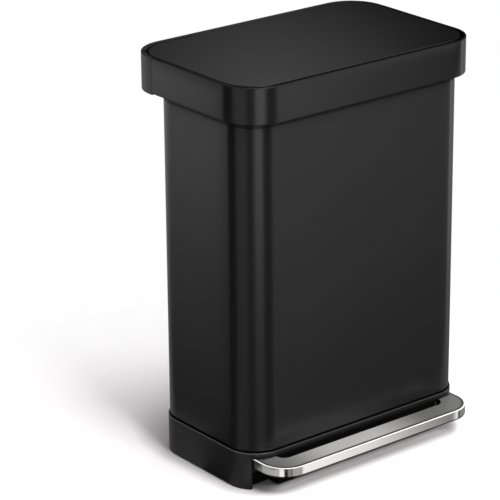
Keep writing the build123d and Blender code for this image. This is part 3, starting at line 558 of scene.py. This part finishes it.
def natural_nylon(colours):
    """Pale nylon, slightly cloudy."""
    f = new_finish("natural_nylon")
    place = f.place()
    cloud = f.noise(place, scale=90.0, detail=3.0)
    return f.surface(f.principled({
        "Base Color": f.blend(cloud, shade(colours.nylon, 0.88), shade(colours.nylon, 1.08)),
        "Roughness": 0.42 + cloud * 0.12,
        "Normal": f.bump(f.noise(place, scale=800.0), depth=0.00003, strength=0.3),
    }))


def soft_rubber(colours):
    """Soft black rubber with a dusty bloom."""
    f = new_finish("soft_rubber")
    place = f.place()
    grain = f.noise(place, scale=1100.0, detail=3.0)
    bloom = f.step(f.noise(place, scale=140.0, detail=3.0), 0.45, 0.75)
    return f.surface(f.principled({
        "Base Color": f.blend(bloom * 0.5, shade(colours.rubber, 0.9), shade(colours.rubber, 1.8)),
        "Roughness": 0.62 + bloom * 0.15,
        "Specular IOR Level": 0.35,
        "Normal": f.bump(grain, depth=0.00006, strength=0.5),
    }))


def studio_white(colours, settings):
    """Matt white floor with a painted contact shadow round the base and painted light that lightens the pedal's
    shadow; reflections see soft bands round the front corner instead.
    """
    f = new_finish("studio_white")
    place = f.place()
    grain = f.noise(place, scale=120.0, detail=3.0)
    white = f.blend(grain, shade(colours.floor, 0.99), shade(colours.floor, 1.01))
    low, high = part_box("base")
    across, along, _ = f.axes(place)
    behind = f.past(along, high.y, BEHIND_START) * f.past(across, 0.0, BEHIND_LEFT)
    ahead = 1.0 - f.past(along, low.y, AHEAD_END)
    under_pedal = ahead * (1.0 - f.past(abs(across), 0.0, PEDAL_HALF))
    gap = outline_gap(f, place, low, high, bpy.context.scene.bin_sheet.body_corner)
    # Painted contact shadow round the base, reaching further behind it and left clear under the pedal
    contact_shadow = (1.0 - f.step(gap, 0.0, CONTACT_SHADOW_REACH + behind * CONTACT_SHADOW_BEHIND)) * (1.0 - under_pedal)
    white = f.blend(contact_shadow, white, shade(colours.floor, CONTACT_SHADOW_LEVEL))
    matt = f.principled({"Base Color": white, "Roughness": 1.0, "Specular IOR Level": 0.0})
    away = f.add("ShaderNodeVectorMath", {"operation": "SUBTRACT"}, {
        "Vector": place, "Vector_001": front_corner()}, "Vector")
    x, y, _ = f.axes(away)
    right = x * cos(settings.yaw) - y * sin(settings.yaw)
    nearer = 0.0 - x * sin(settings.yaw) - y * cos(settings.yaw)
    turn = right.math("ARCTAN2", right, nearer) / (2 * pi) + 0.5
    reach = (x * x + y * y) ** 0.5
    stops = [(0.5 + degrees_right / 360.0, level) for degrees_right, level in FLOOR_BANDS]
    band = f.axes(f.add("ShaderNodeValToRGB", {"stops": stops}, {"Fac": turn}, "Color"))[0]
    rise = f.add("ShaderNodeMapRange", {}, {
        "Value": reach, "From Min": BAND_START[0], "From Max": BAND_START[1]}, "Result")
    near = band.smaller(BAND_NEAR_MOST) * BAND_NEAR_SHARE + BAND_NEAR_LEAST
    bands = f.glow(near + (band - near) * rise * rise)
    mixed = f.mix(f.ray("Is Glossy Ray"), matt, bands)
    # Painted light: the camera sees some white paper ahead of the base, which lightens the pedal's shadow
    paper = f.past(reach, 0.0, PAPER_START).larger(ahead * PEDAL_SHADOW_LIFT) * f.ray("Is Camera Ray")
    return f.surface(f.mix(paper, mixed, f.glow(WHITE)))


def card_glow():
    """The level that each point of a card carries."""
    f = new_finish("card_glow")
    return f.surface(f.glow(f.add("ShaderNodeAttribute", {"attribute_name": "glow"}, {}, "Color")))


def lid_card_glow():
    """A soft patch of light on a dark card, low behind the bin, for the lid to reflect."""
    f = new_finish("lid_card")
    across, up, _ = f.axes(f.place())
    offset = (across - PATCH_PLACE[0]) * PATCH_SQUEEZE[0]
    lift = (up - PATCH_PLACE[1]) * PATCH_SQUEEZE[1]
    far = (offset * offset + lift * lift) ** 0.5
    return f.surface(f.glow(f.add("ShaderNodeValToRGB", {"stops": PATCH_LEVELS}, {"Fac": far}, "Color")))


def finish_for(slot):
    """The material of one of the record's slots, made when it is first asked for."""
    colours = bpy.context.scene.bin_colours
    low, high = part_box("pedal_tread")
    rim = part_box("rim_band")[0]
    makers = {
        "satin_black_steel": lambda: satin_black_coat(colours, rim.z, rim.y),
        "black_moulding": lambda: grained_moulding(
            colours, Vector((high.x + BAY_GAP, BAY_BACK, high.z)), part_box("body_shell")[0].z - BASE_SEAM),
        "brushed_stainless": lambda: brushed_stainless(colours, low, high, bpy.context.scene.bin_pedal.corner),
        "zinc_steel": lambda: zinc_plate(colours),
        "pale_nylon": lambda: natural_nylon(colours),
        "black_rubber": lambda: soft_rubber(colours),
    }
    if slot not in finish_for.made:
        finish_for.made[slot] = makers[slot]()
    return finish_for.made[slot]


finish_for.made = {}


# Outlines and skins

def arc(x, y, radius, start, steps):
    """A quarter turn about a centre, from a start angle in degrees, both ends included."""
    angles = [radians(start + 90.0 * i / steps) for i in range(steps + 1)]
    return [(x + radius * cos(a), y + radius * sin(a)) for a in angles]


def rounded_ring(low, high, corner, inset, steps):
    """A rounded rectangle, drawn in on every side: each corner keeps its centre."""
    left, right = low.x + corner, high.x - corner
    front, back = low.y + corner, high.y - corner
    corners = ((right, front, -90), (right, back, 0), (left, back, 90), (left, front, 180))
    return [p for x, y, start in corners for p in arc(x, y, corner - inset, start, steps)]


def rounded_front(low, high, corner, inset, steps):
    """The sides and front of a rounded rectangle, open at the back."""
    left, right, front = low.x + corner, high.x - corner, low.y + corner
    ends = ((low.x + inset, high.y), (high.x - inset, high.y))
    turns = arc(left, front, corner - inset, 180, steps) + arc(right, front, corner - inset, 270, steps)
    return [ends[0], *turns, ends[1]]


def soften(points, radii):
    """A closed profile with each corner rounded by its own radius."""
    smooth = []
    for i, (point, radius) in enumerate(zip(points, radii)):
        here = Vector(point)
        before = Vector(points[i - 1]) - here
        after = Vector(points[(i + 1) % len(points)]) - here
        start = here + before.normalized() * min(radius, before.length * CORNER_SHARE)
        end = here + after.normalized() * min(radius, after.length * CORNER_SHARE)
        for k in range(CORNER_STEPS + 1):
            t = k / CORNER_STEPS
            smooth.append((1 - t) ** 2 * start + 2 * t * (1 - t) * here + t ** 2 * end)
    return smooth


def add_rings(bm, rings, wrap, join_ends):
    """Skins rings of points with quads; wrap closes each ring, join_ends joins the last ring to the first."""
    loops = [[bm.verts.new(p) for p in ring] for ring in rings]
    pairs = list(zip(loops, loops[1:]))
    if join_ends:
        pairs.append((loops[-1], loops[0]))
    count = len(loops[0])
    for lower, upper in pairs:
        for i in range(count if wrap else count - 1):
            k = (i + 1) % count
            bm.faces.new((lower[i], lower[k], upper[k], upper[i]))
    return loops


def cap_ends(bm, loops):
    """Closes the first and the last ring of a skin."""
    bm.faces.new(loops[0])
    bm.faces.new(loops[-1])


def cap_sides(bm, loops):
    """Closes the two sides that open rings leave on a skin."""
    bm.faces.new([loop[0] for loop in loops])
    bm.faces.new([loop[-1] for loop in reversed(loops)])


def sweep(profile, outline, wrap):
    """A mesh of a closed (inset, height) profile carried along an outline."""
    bm = bmesh.new()
    rings = [[(x, y, z) for x, y in outline(inset)] for inset, z in profile]
    loops = add_rings(bm, rings, wrap, True)
    if not wrap:
        cap_sides(bm, loops)
    return bm


def link_object(name, data):
    thing = bpy.data.objects.new(name, data)
    bpy.context.scene.collection.objects.link(thing)
    return thing


def link_mesh(name, bm, material):
    """An object with this mesh and one material."""
    mesh = bpy.data.meshes.new(name)
    bm.to_mesh(mesh)
    bm.free()
    mesh.materials.append(material)
    return link_object(name, mesh)


def make_piece(name, bm, body, slot, *nodes):
    """Turns a mesh into a piece that rides on a body and stands for CAD nodes."""
    bmesh.ops.recalc_face_normals(bm, faces=bm.faces)
    piece = link_mesh(name, bm, finish_for(slot))
    piece.data.shade_smooth()
    piece.data.set_sharp_from_angle(angle=SHARP_ANGLE)
    piece.modifiers.new("even_normals", "WEIGHTED_NORMAL").keep_sharp = True
    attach(piece, body)
    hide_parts(*nodes)


def solids_of(node):
    """The lowest and highest corner of each separate solid in a CAD node."""
    bm = bmesh.new()
    bm.from_mesh(frame["nodes"][node].data)
    bmesh.ops.remove_doubles(bm, verts=bm.verts, dist=WELD_GAP)
    unseen = set(bm.verts)
    boxes = []
    while unseen:
        group = [unseen.pop()]
        for vert in group:
            near = {edge.other_vert(vert) for edge in vert.link_edges} & unseen
            unseen -= near
            group.extend(near)
        axes = list(zip(*(v.co for v in group)))
        boxes.append((Vector(map(min, axes)), Vector(map(max, axes))))
    bm.free()
    return sorted(boxes, key=lambda box: tuple(round(c, 5) for c in box[0]))


def whole_turn(steps):
    return [2 * pi * i / steps for i in range(steps)]


def turn_profile(bm, profile, steps, place):
    """Turns a (radius, height) profile about Z and puts it in place, open at both ends."""
    rings = [[place @ Vector((r * cos(a), r * sin(a), z)) for a in whole_turn(steps)] for r, z in profile]
    return add_rings(bm, rings, True, False)


def lathe(bm, profile, steps, low, high):
    """A turned solid in the middle of a box seen from above, closed flat at both ends."""
    middle = (low + high) / 2
    cap_ends(bm, turn_profile(bm, profile, steps, Matrix.Translation((middle.x, middle.y, 0))))


# Sheet steel

class BIN_OT_body_wall(bpy.types.Operator):
    """Bent sheet body with rounded cut edges"""
    bl_idname = "bin.body_wall"
    bl_label = "Body wall"

    def execute(self, context):
        s = context.scene.bin_sheet
        low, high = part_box("body_shell")
        corners = [(0, low.z), (0, high.z), (s.body_sheet, high.z), (s.body_sheet, low.z)]
        profile = soften(corners, [s.cut_edge] * len(corners))
        bm = sweep(profile, lambda inset: rounded_ring(low, high, s.body_corner, inset, s.corner_steps), True)
        make_piece("body_wall", bm, "can", "satin_black_steel", "body_shell")
        return {"FINISHED"}


class BIN_OT_rim_wrap(bpy.types.Operator):
    """Rim band round the front and sides, with its top turned in"""
    bl_idname = "bin.rim_wrap"
    bl_label = "Rim wrap"

    def execute(self, context):
        s = context.scene.bin_sheet
        low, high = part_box("rim_band")
        corners = [
            (0, low.z), (0, high.z), (s.rim_lip, high.z), (s.rim_lip, high.z - s.rim_sheet),
            (s.rim_sheet, high.z - s.rim_sheet), (s.rim_sheet, low.z),
        ]
        radii = [s.cut_edge, s.rim_edge, s.cut_edge, s.cut_edge, s.cut_edge, s.cut_edge]
        profile = soften(corners, radii)
        bm = sweep(profile, lambda inset: rounded_front(low, high, s.rim_corner, inset, s.corner_steps), False)
        make_piece("rim_wrap", bm, "can", "satin_black_steel", "rim_band")
        return {"FINISHED"}


def pedal_ring(low, high, sizes, inset, steps):
    """The U of the pedal seen from above, drawn in on every side but its two tails."""
    outer = rounded_front(low, high, sizes.corner, inset, steps)
    slot_low = Vector((low.x + sizes.arm, low.y + sizes.bar))
    slot_high = Vector((high.x - sizes.arm, high.y))
    inner = rounded_front(slot_low, slot_high, sizes.slot_corner, -inset, steps)
    return outer + inner[::-1]


class BIN_OT_pedal_plate(bpy.types.Operator):
    """Brushed pedal plate: a U-shaped cap with a rounded upper edge"""
    bl_idname = "bin.pedal_plate"
    bl_label = "Pedal plate"

    def execute(self, context):
        s = context.scene.bin_pedal
        steps = context.scene.bin_sheet.corner_steps
        low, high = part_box("pedal_tread")
        inside = s.sheet
        corners = [(inside, high.z - inside), (inside, low.z), (0, low.z), (0, high.z), (s.corner, high.z)]
        profile = soften(corners, [0, s.cut_edge, s.cut_edge, s.edge, 0])
        profile = [p for p in profile if p[0] < s.corner / 2]
        bm = bmesh.new()
        rings = [[(x, y, z) for x, y in pedal_ring(low, high, s, inset, steps)] for inset, z in profile]
        cap_ends(bm, add_rings(bm, rings, True, False))
        make_piece("pedal_plate", bm, "pedal", "brushed_stainless", "pedal_tread")
        return {"FINISHED"}


# Fasteners and rubber

def add_screw(bm, sizes, place, head, head_height, shank, shank_length):
    """A pan-head screw with a cross recess: the head stands up from the seat, the shank goes down."""
    steps = sizes.round_steps
    edge = head_height * HEAD_ROUNDING
    flat = head - edge
    profile = [(shank, -shank_length), (shank, 0), (head, 0), (head, head_height - edge)]
    profile += [(flat + edge * cos(a), head_height - edge + edge * sin(a)) for a in HEAD_ANGLES]
    loops = turn_profile(bm, profile, steps, place)
    bm.faces.new(loops[0])
    wide, reach, depth = head * sizes.recess_width, head * sizes.recess_reach, head_height * RECESS_DEPTH
    quarter = [(reach, -wide / 2), (reach, wide / 2), (wide / 2, wide / 2)]
    turns = [Matrix.Rotation(pi / 2 * i, 2) @ Vector(p) for i in range(4) for p in quarter]
    top = [bm.verts.new(place @ Vector((x, y, head_height))) for x, y in turns]
    bottom = [bm.verts.new(place @ Vector((x, y, head_height - depth))) for x, y in turns]
    count = len(top)
    edges = [bm.edges.new((top[i], top[(i + 1) % count])) for i in range(count)]
    edges += [bm.edges.get((loops[-1][i], loops[-1][(i + 1) % steps])) for i in range(steps)]
    bmesh.ops.triangle_fill(bm, use_beauty=True, edges=edges)
    for i in range(count):
        k = (i + 1) % count
        bm.faces.new((top[i], top[k], bottom[k], bottom[i]))
    bm.faces.new(bottom)


def seat(point, out):
    """A frame at a point whose Z axis looks out along a direction."""
    return Matrix.Translation(point) @ Vector(out).to_track_quat("Z", "Y").to_matrix().to_4x4()


class BIN_OT_screws(bpy.types.Operator):
    """Cross-recess screws of the housing, the crank and the foot lever"""
    bl_idname = "bin.screws"
    bl_label = "Screws"

    def execute(self, context):
        s = context.scene.bin_fasteners
        self.group("rim_screws", "can", "housing_screws", (0, -1, 0), s.head_height, s.shank)
        self.group("crank_screws", "lid", "lever_screws", (0, 0, -1), s.small_head_height, s.small_shank)
        self.group("foot_lever_screws", "pedal", "lift_screws", (0, 0, -1), s.head_height, s.shank)
        return {"FINISHED"}

    def group(self, name, body, node, out, head_height, shank):
        sizes = bpy.context.scene.bin_fasteners
        out = Vector(out)
        bm = bmesh.new()
        for low, high in solids_of(node):
            middle, size = (low + high) / 2, high - low
            span = abs(size.dot(out))
            seat_point = middle + out * (span / 2 - head_height)
            add_screw(bm, sizes, seat(seat_point, out), size.x / 2, head_height, shank / 2, span - head_height)
        make_piece(name, bm, body, "zinc_steel", node)


class BIN_OT_lid_nuts(bpy.types.Operator):
    """Chamfered hexagon nuts under the lid"""
    bl_idname = "bin.lid_nuts"
    bl_label = "Lid nuts"

    def execute(self, context):
        s = context.scene.bin_fasteners
        bm = bmesh.new()
        for low, high in solids_of("lid_nuts"):
            self.add_nut(bm, s, (low + high) / 2, (high.x - low.x) / 2, high.z - low.z)
        make_piece("hexagon_nuts", bm, "lid", "zinc_steel", "lid_nuts")
        return {"FINISHED"}

    def add_nut(self, bm, sizes, middle, across, height):
        """Rings round a hexagon: its corners are cut by a chamfer that leaves a round face."""
        steps = sizes.round_steps
        angles = whole_turn(steps)
        flat = across * cos(pi / 6)
        hexagon = [flat / cos((a + pi / 6) % (pi / 3) - pi / 6) for a in angles]
        bore = sizes.nut_bore / 2
        half = height / 2
        sides = [(bore, -half), (flat, -half), (None, sizes.chamfer - half), (None, half - sizes.chamfer),
                 (flat, half), (bore, half)]
        rings = []
        for radius, z in sides:
            reach = hexagon if radius is None else [radius] * steps
            rings.append([middle + Vector((r * cos(a), r * sin(a), z)) for r, a in zip(reach, angles)])
        add_rings(bm, rings, True, True)


class BIN_OT_rubber_pads(bpy.types.Operator):
    """Feet, lid bumpers and pedal stops"""
    bl_idname = "bin.rubber_pads"
    bl_label = "Rubber pads"

    def execute(self, context):
        s = context.scene.bin_fasteners
        self.feet(s)
        self.bumpers(s)
        self.stops(s)
        return {"FINISHED"}

    def feet(self, s):
        """Round pads with a chamfered tread and two ring grooves."""
        bm = bmesh.new()
        for low, high in solids_of("base_feet"):
            radius = (high.x - low.x) / 2
            profile = [(radius, high.z), (radius, low.z + s.chamfer), (radius - s.chamfer, low.z)]
            profile += [(radius * share, low.z + s.groove * groove) for share, groove in FOOT_TREAD]
            lathe(bm, profile, s.round_steps, low, high)
        make_piece("foot_pads", bm, "can", "black_rubber", "base_feet")

    def bumpers(self, s):
        """Small domed buttons that the lid lands on."""
        bm = bmesh.new()
        for low, high in solids_of("lid_bumpers"):
            radius, rise = (high.x - low.x) / 2, (high.z - low.z) * DOME_RISE
            turns = [pi / 2 * i / DOME_STEPS for i in range(DOME_STEPS)]
            profile = [(radius, high.z)] + [(radius * cos(a), low.z + rise * (1 - sin(a))) for a in turns]
            lathe(bm, profile, s.round_steps, low, high)
        make_piece("bumper_domes", bm, "lid", "black_rubber", "lid_bumpers")

    def stops(self, s):
        """Rubber blocks over the pedal arms, ribbed across."""
        bm = bmesh.new()
        for low, high in solids_of("pedal_stops"):
            pitch = (high.y - low.y) / STOP_RIBS
            rows = [(low.y, low.z)]
            for i in range(STOP_RIBS):
                start = low.y + pitch * i
                rows += [(start + pitch * RIB_END, low.z), (start + pitch * RIB_GROOVE, low.z + s.groove)]
            rows += [(high.y, low.z), (high.y, high.z), (low.y, high.z)]
            rings = [[(x, y, z) for x in (low.x, high.x)] for y, z in rows]
            cap_sides(bm, add_rings(bm, rings, False, True))
        make_piece("stop_blocks", bm, "can", "black_rubber", "pedal_stops")


# Mouldings and mechanism

class BIN_OT_kept_parts(bpy.types.Operator):
    """Gives every CAD piece that stays its finish"""
    bl_idname = "bin.kept_parts"
    bl_label = "Mouldings and mechanism"

    def execute(self, context):
        for part in frame["record"]["subparts"]:
            node = frame["nodes"][part["node"]]
            for slot in node.material_slots:
                slot.link = "OBJECT"
                slot.material = finish_for(part["material_slot"])
        return {"FINISHED"}


# Studio

def add_floor(settings, colours):
    bm = bmesh.new()
    bmesh.ops.create_circle(bm, cap_ends=True, segments=FLOOR_STEPS, radius=settings.floor_radius)
    floor = link_mesh("floor", bm, studio_white(colours, settings))


def towards(settings, side, rise):
    """A direction: degrees to the right of the camera's side, and degrees above the floor."""
    turn = settings.yaw - radians(side)
    flat = Vector((-sin(turn), -cos(turn), 0)) * cos(radians(rise))
    return flat + Vector((0, 0, sin(radians(rise))))


def add_softbox(settings, name, side, rise, size, power, in_reflections):
    """A square soft lamp that looks at the bin."""
    lamp = bpy.data.lights.new(name, "AREA")
    lamp.shape = "SQUARE"
    lamp.size = size
    lamp.energy = power
    box = link_object(name, lamp)
    box.location = towards(settings, side, rise) * settings.lamp_distance
    box.rotation_euler = (LAMP_AIM - box.location).to_track_quat("-Z", "Y").to_euler()
    box.visible_camera = False
    box.visible_glossy = in_reflections


def front_corner():
    """The upright axis of the front corner nearest the camera, on the floor."""
    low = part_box("body_shell")[0]
    corner = bpy.context.scene.bin_sheet.body_corner
    return Vector((low.x + corner, low.y + corner, 0))


def only_reflected(card):
    """Hides a card from everything but reflections."""
    card.visible_camera = False
    card.visible_diffuse = False
    card.visible_shadow = False
    card.visible_transmission = False


def add_card(name, feet, rows, material):
    """An upright card: floor points with a level each, carried up through rows of a height and a share of it."""
    bm = bmesh.new()
    glow = bm.verts.layers.float_color.new("glow")
    loops = add_rings(bm, [[(x, y, z) for x, y, _ in feet] for z, _ in rows], False, False)
    for loop, (_, share) in zip(loops, rows):
        for vert, (_, _, level) in zip(loop, feet):
            vert[glow] = (level * share, level * share, level * share, 1.0)
    only_reflected(link_mesh(name, bm, material))


def add_flat_cards(settings, material):
    """Cards for the flat left side and front, clear of the corner's own reflections, dark at the rim's foot."""
    sheet = bpy.context.scene.bin_sheet
    rim_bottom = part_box("rim_band")[0].z
    left, front = settings.left_card, settings.front_card
    for node, corner in (("body_shell", sheet.body_corner), ("rim_band", sheet.rim_corner)):
        (near_left, far_left), (near_front, far_front) = FLAT_CARD_LEVELS[node]
        low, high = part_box(node)
        top = min(high.z, rim_bottom) if node == "body_shell" else high.z
        on_rim = top > rim_bottom
        fall = (low.x - left) / sin(settings.yaw) * tan(settings.pitch)
        rows = card_rows(max(low.z - fall, 0), top - fall, LEFT_CARD_RISE)
        start = low.y + corner + (low.x - left) / tan(settings.yaw)
        feet = [(left, start, near_left), (left, LEFT_CARD_END, far_left)]
        add_card(node + "_left_card", feet, dark_edge(rows, settings.rim_line, on_rim), material)
        fall = (low.y - front) / cos(settings.yaw) * tan(settings.pitch)
        rows = card_rows(max(low.z - fall, FRONT_CARD_LOWEST), top - fall, FRONT_CARD_RISE)
        start = low.x + corner + (low.y - front) * tan(settings.yaw)
        feet = [(start, front, near_front), (FRONT_CARD_DIM, front, far_front), (FRONT_CARD_END, front, far_front)]
        add_card(node + "_front_card", feet, dark_edge(rows, settings.rim_line, on_rim), material)


def card_rows(bottom, top, rise):
    """The bottom, middle and top of a card, each with the level that its height gives."""
    base, slope, bow = rise
    return [(z, base + slope * z + bow * z * z) for z in (bottom, (bottom + top) / 2, top)]


def dark_edge(rows, edge, below):
    """Ends a card's rows in a dark strip, at the bottom or at the top."""
    (bottom, first), (top, last) = rows[0], rows[-1]
    if below:
        return [(bottom, DARK_STRIP), (bottom + edge / 2, first)] + rows[1:]
    return rows[:-1] + [(top - edge, last), (top - edge / 2, DARK_STRIP), (top + edge, DARK_STRIP)]


def add_pedal_card(settings, material):
    """A low strip round the pedal for its polished sides."""
    low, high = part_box("pedal_tread")
    corner = bpy.context.scene.bin_pedal.corner
    centre = Vector((low.x + corner, low.y + corner, 0))
    reach = corner + settings.pedal_card
    feet = [(low.x - settings.pedal_card, high.y, PEDAL_CARD_BACK)]
    for side, level in BEND_BANDS:
        place = centre + towards(settings, side, 0) * reach
        feet.append((place.x, place.y, level))
    feet += [(x, low.y - settings.pedal_card, level) for x, level in FRONT_BANDS]
    add_card("pedal_card", feet, [(height, 1.0) for height in PEDAL_CARD_HEIGHTS], material)


def add_lid_card(settings):
    """An upright card behind the bin for the lid, from the height of the rim upwards."""
    bm = bmesh.new()
    bmesh.ops.create_grid(bm, x_segments=1, y_segments=1, size=LID_CARD_HALF)
    for vert in bm.verts:
        vert.co.y = max(vert.co.y, 0.0)
    card = link_mesh("lid_card", bm, lid_card_glow())
    right = Vector((cos(settings.yaw), -sin(settings.yaw), 0))
    up = Vector((0, 0, 1))
    place = towards(settings, 180, 0) * settings.card_distance + up * CAD_HIGH[2]
    card.matrix_world = Matrix.Translation(place) @ Matrix((right, up, right.cross(up))).transposed().to_4x4()
    only_reflected(card)


def add_world(settings):
    """A soft, even room, white where the camera sees it."""
    world = bpy.data.worlds.new("studio")
    bpy.context.scene.world = world
    f = Finish(world)
    level = settings.room_level
    room, paper = [
        f.add("ShaderNodeBackground", {}, {"Color": tone, "Strength": 1.0}, "Background")
        for tone in ((level, level, level, 1.0), WHITE)]
    f.add("ShaderNodeOutputWorld", {}, {"Surface": f.mix(f.ray("Is Camera Ray"), room, paper)}, None)


def add_camera(settings):
    data = bpy.data.cameras.new("photo_view")
    data.lens = settings.lens
    data.clip_end = CLIP_END
    camera = link_object("photo_view", data)
    forward = Vector((
        sin(settings.yaw) * cos(settings.pitch), cos(settings.yaw) * cos(settings.pitch), -sin(settings.pitch)))
    right = Vector((cos(settings.yaw), -sin(settings.yaw), 0))
    up = right.cross(forward)
    tilt = Matrix((right, up, -forward)).transposed() @ Matrix.Rotation(settings.roll, 3, "Z")
    camera.matrix_world = Matrix.Translation(settings.camera_place) @ tilt.to_4x4()
    bpy.context.scene.camera = camera


class BIN_OT_studio(bpy.types.Operator):
    """White floor, soft lamps, cards and the camera"""
    bl_idname = "bin.studio"
    bl_label = "Studio"

    def execute(self, context):
        settings = context.scene.bin_studio
        context.scene.view_settings.view_transform = "Standard"
        add_floor(settings, context.scene.bin_colours)
        add_world(settings)
        for lamp in LAMPS:
            add_softbox(settings, *lamp)
        material = card_glow()
        add_flat_cards(settings, material)
        add_pedal_card(settings, material)
        add_lid_card(settings)
        add_camera(settings)
        return {"FINISHED"}


class BIN_PT_tools(bpy.types.Panel):
    """Builds the pedal bin piece by piece"""
    bl_idname = "BIN_PT_tools"
    bl_label = "Pedal bin"
    bl_space_type = "VIEW_3D"
    bl_region_type = "UI"
    bl_category = "Pedal bin"

    def draw(self, context):
        for operator in OPERATORS:
            self.layout.operator(operator.bl_idname)


OPERATORS = (
    BIN_OT_kept_parts, BIN_OT_body_wall, BIN_OT_rim_wrap, BIN_OT_pedal_plate, BIN_OT_screws, BIN_OT_lid_nuts,
    BIN_OT_rubber_pads, BIN_OT_studio,
)
SETTINGS = {
    "bin_sheet": SheetSizes, "bin_pedal": PedalSizes, "bin_fasteners": FastenerSizes, "bin_colours": BinColours,
    "bin_studio": StudioSettings,
}
CLASSES = (*SETTINGS.values(), *OPERATORS, BIN_PT_tools)


def register():
    for cls in CLASSES:
        bpy.utils.register_class(cls)
    for name, group in SETTINGS.items():
        setattr(bpy.types.Scene, name, PointerProperty(type=group))


def unregister():
    for name in SETTINGS:
        delattr(bpy.types.Scene, name)
    for cls in reversed(CLASSES):
        bpy.utils.unregister_class(cls)


def main():
    register()
    bpy.ops.bin.kept_parts()
    bpy.ops.bin.body_wall()
    bpy.ops.bin.rim_wrap()
    bpy.ops.bin.pedal_plate()
    bpy.ops.bin.screws()
    bpy.ops.bin.lid_nuts()
    bpy.ops.bin.rubber_pads()
    bpy.ops.bin.studio()


if __name__ == "__main__":
    main()
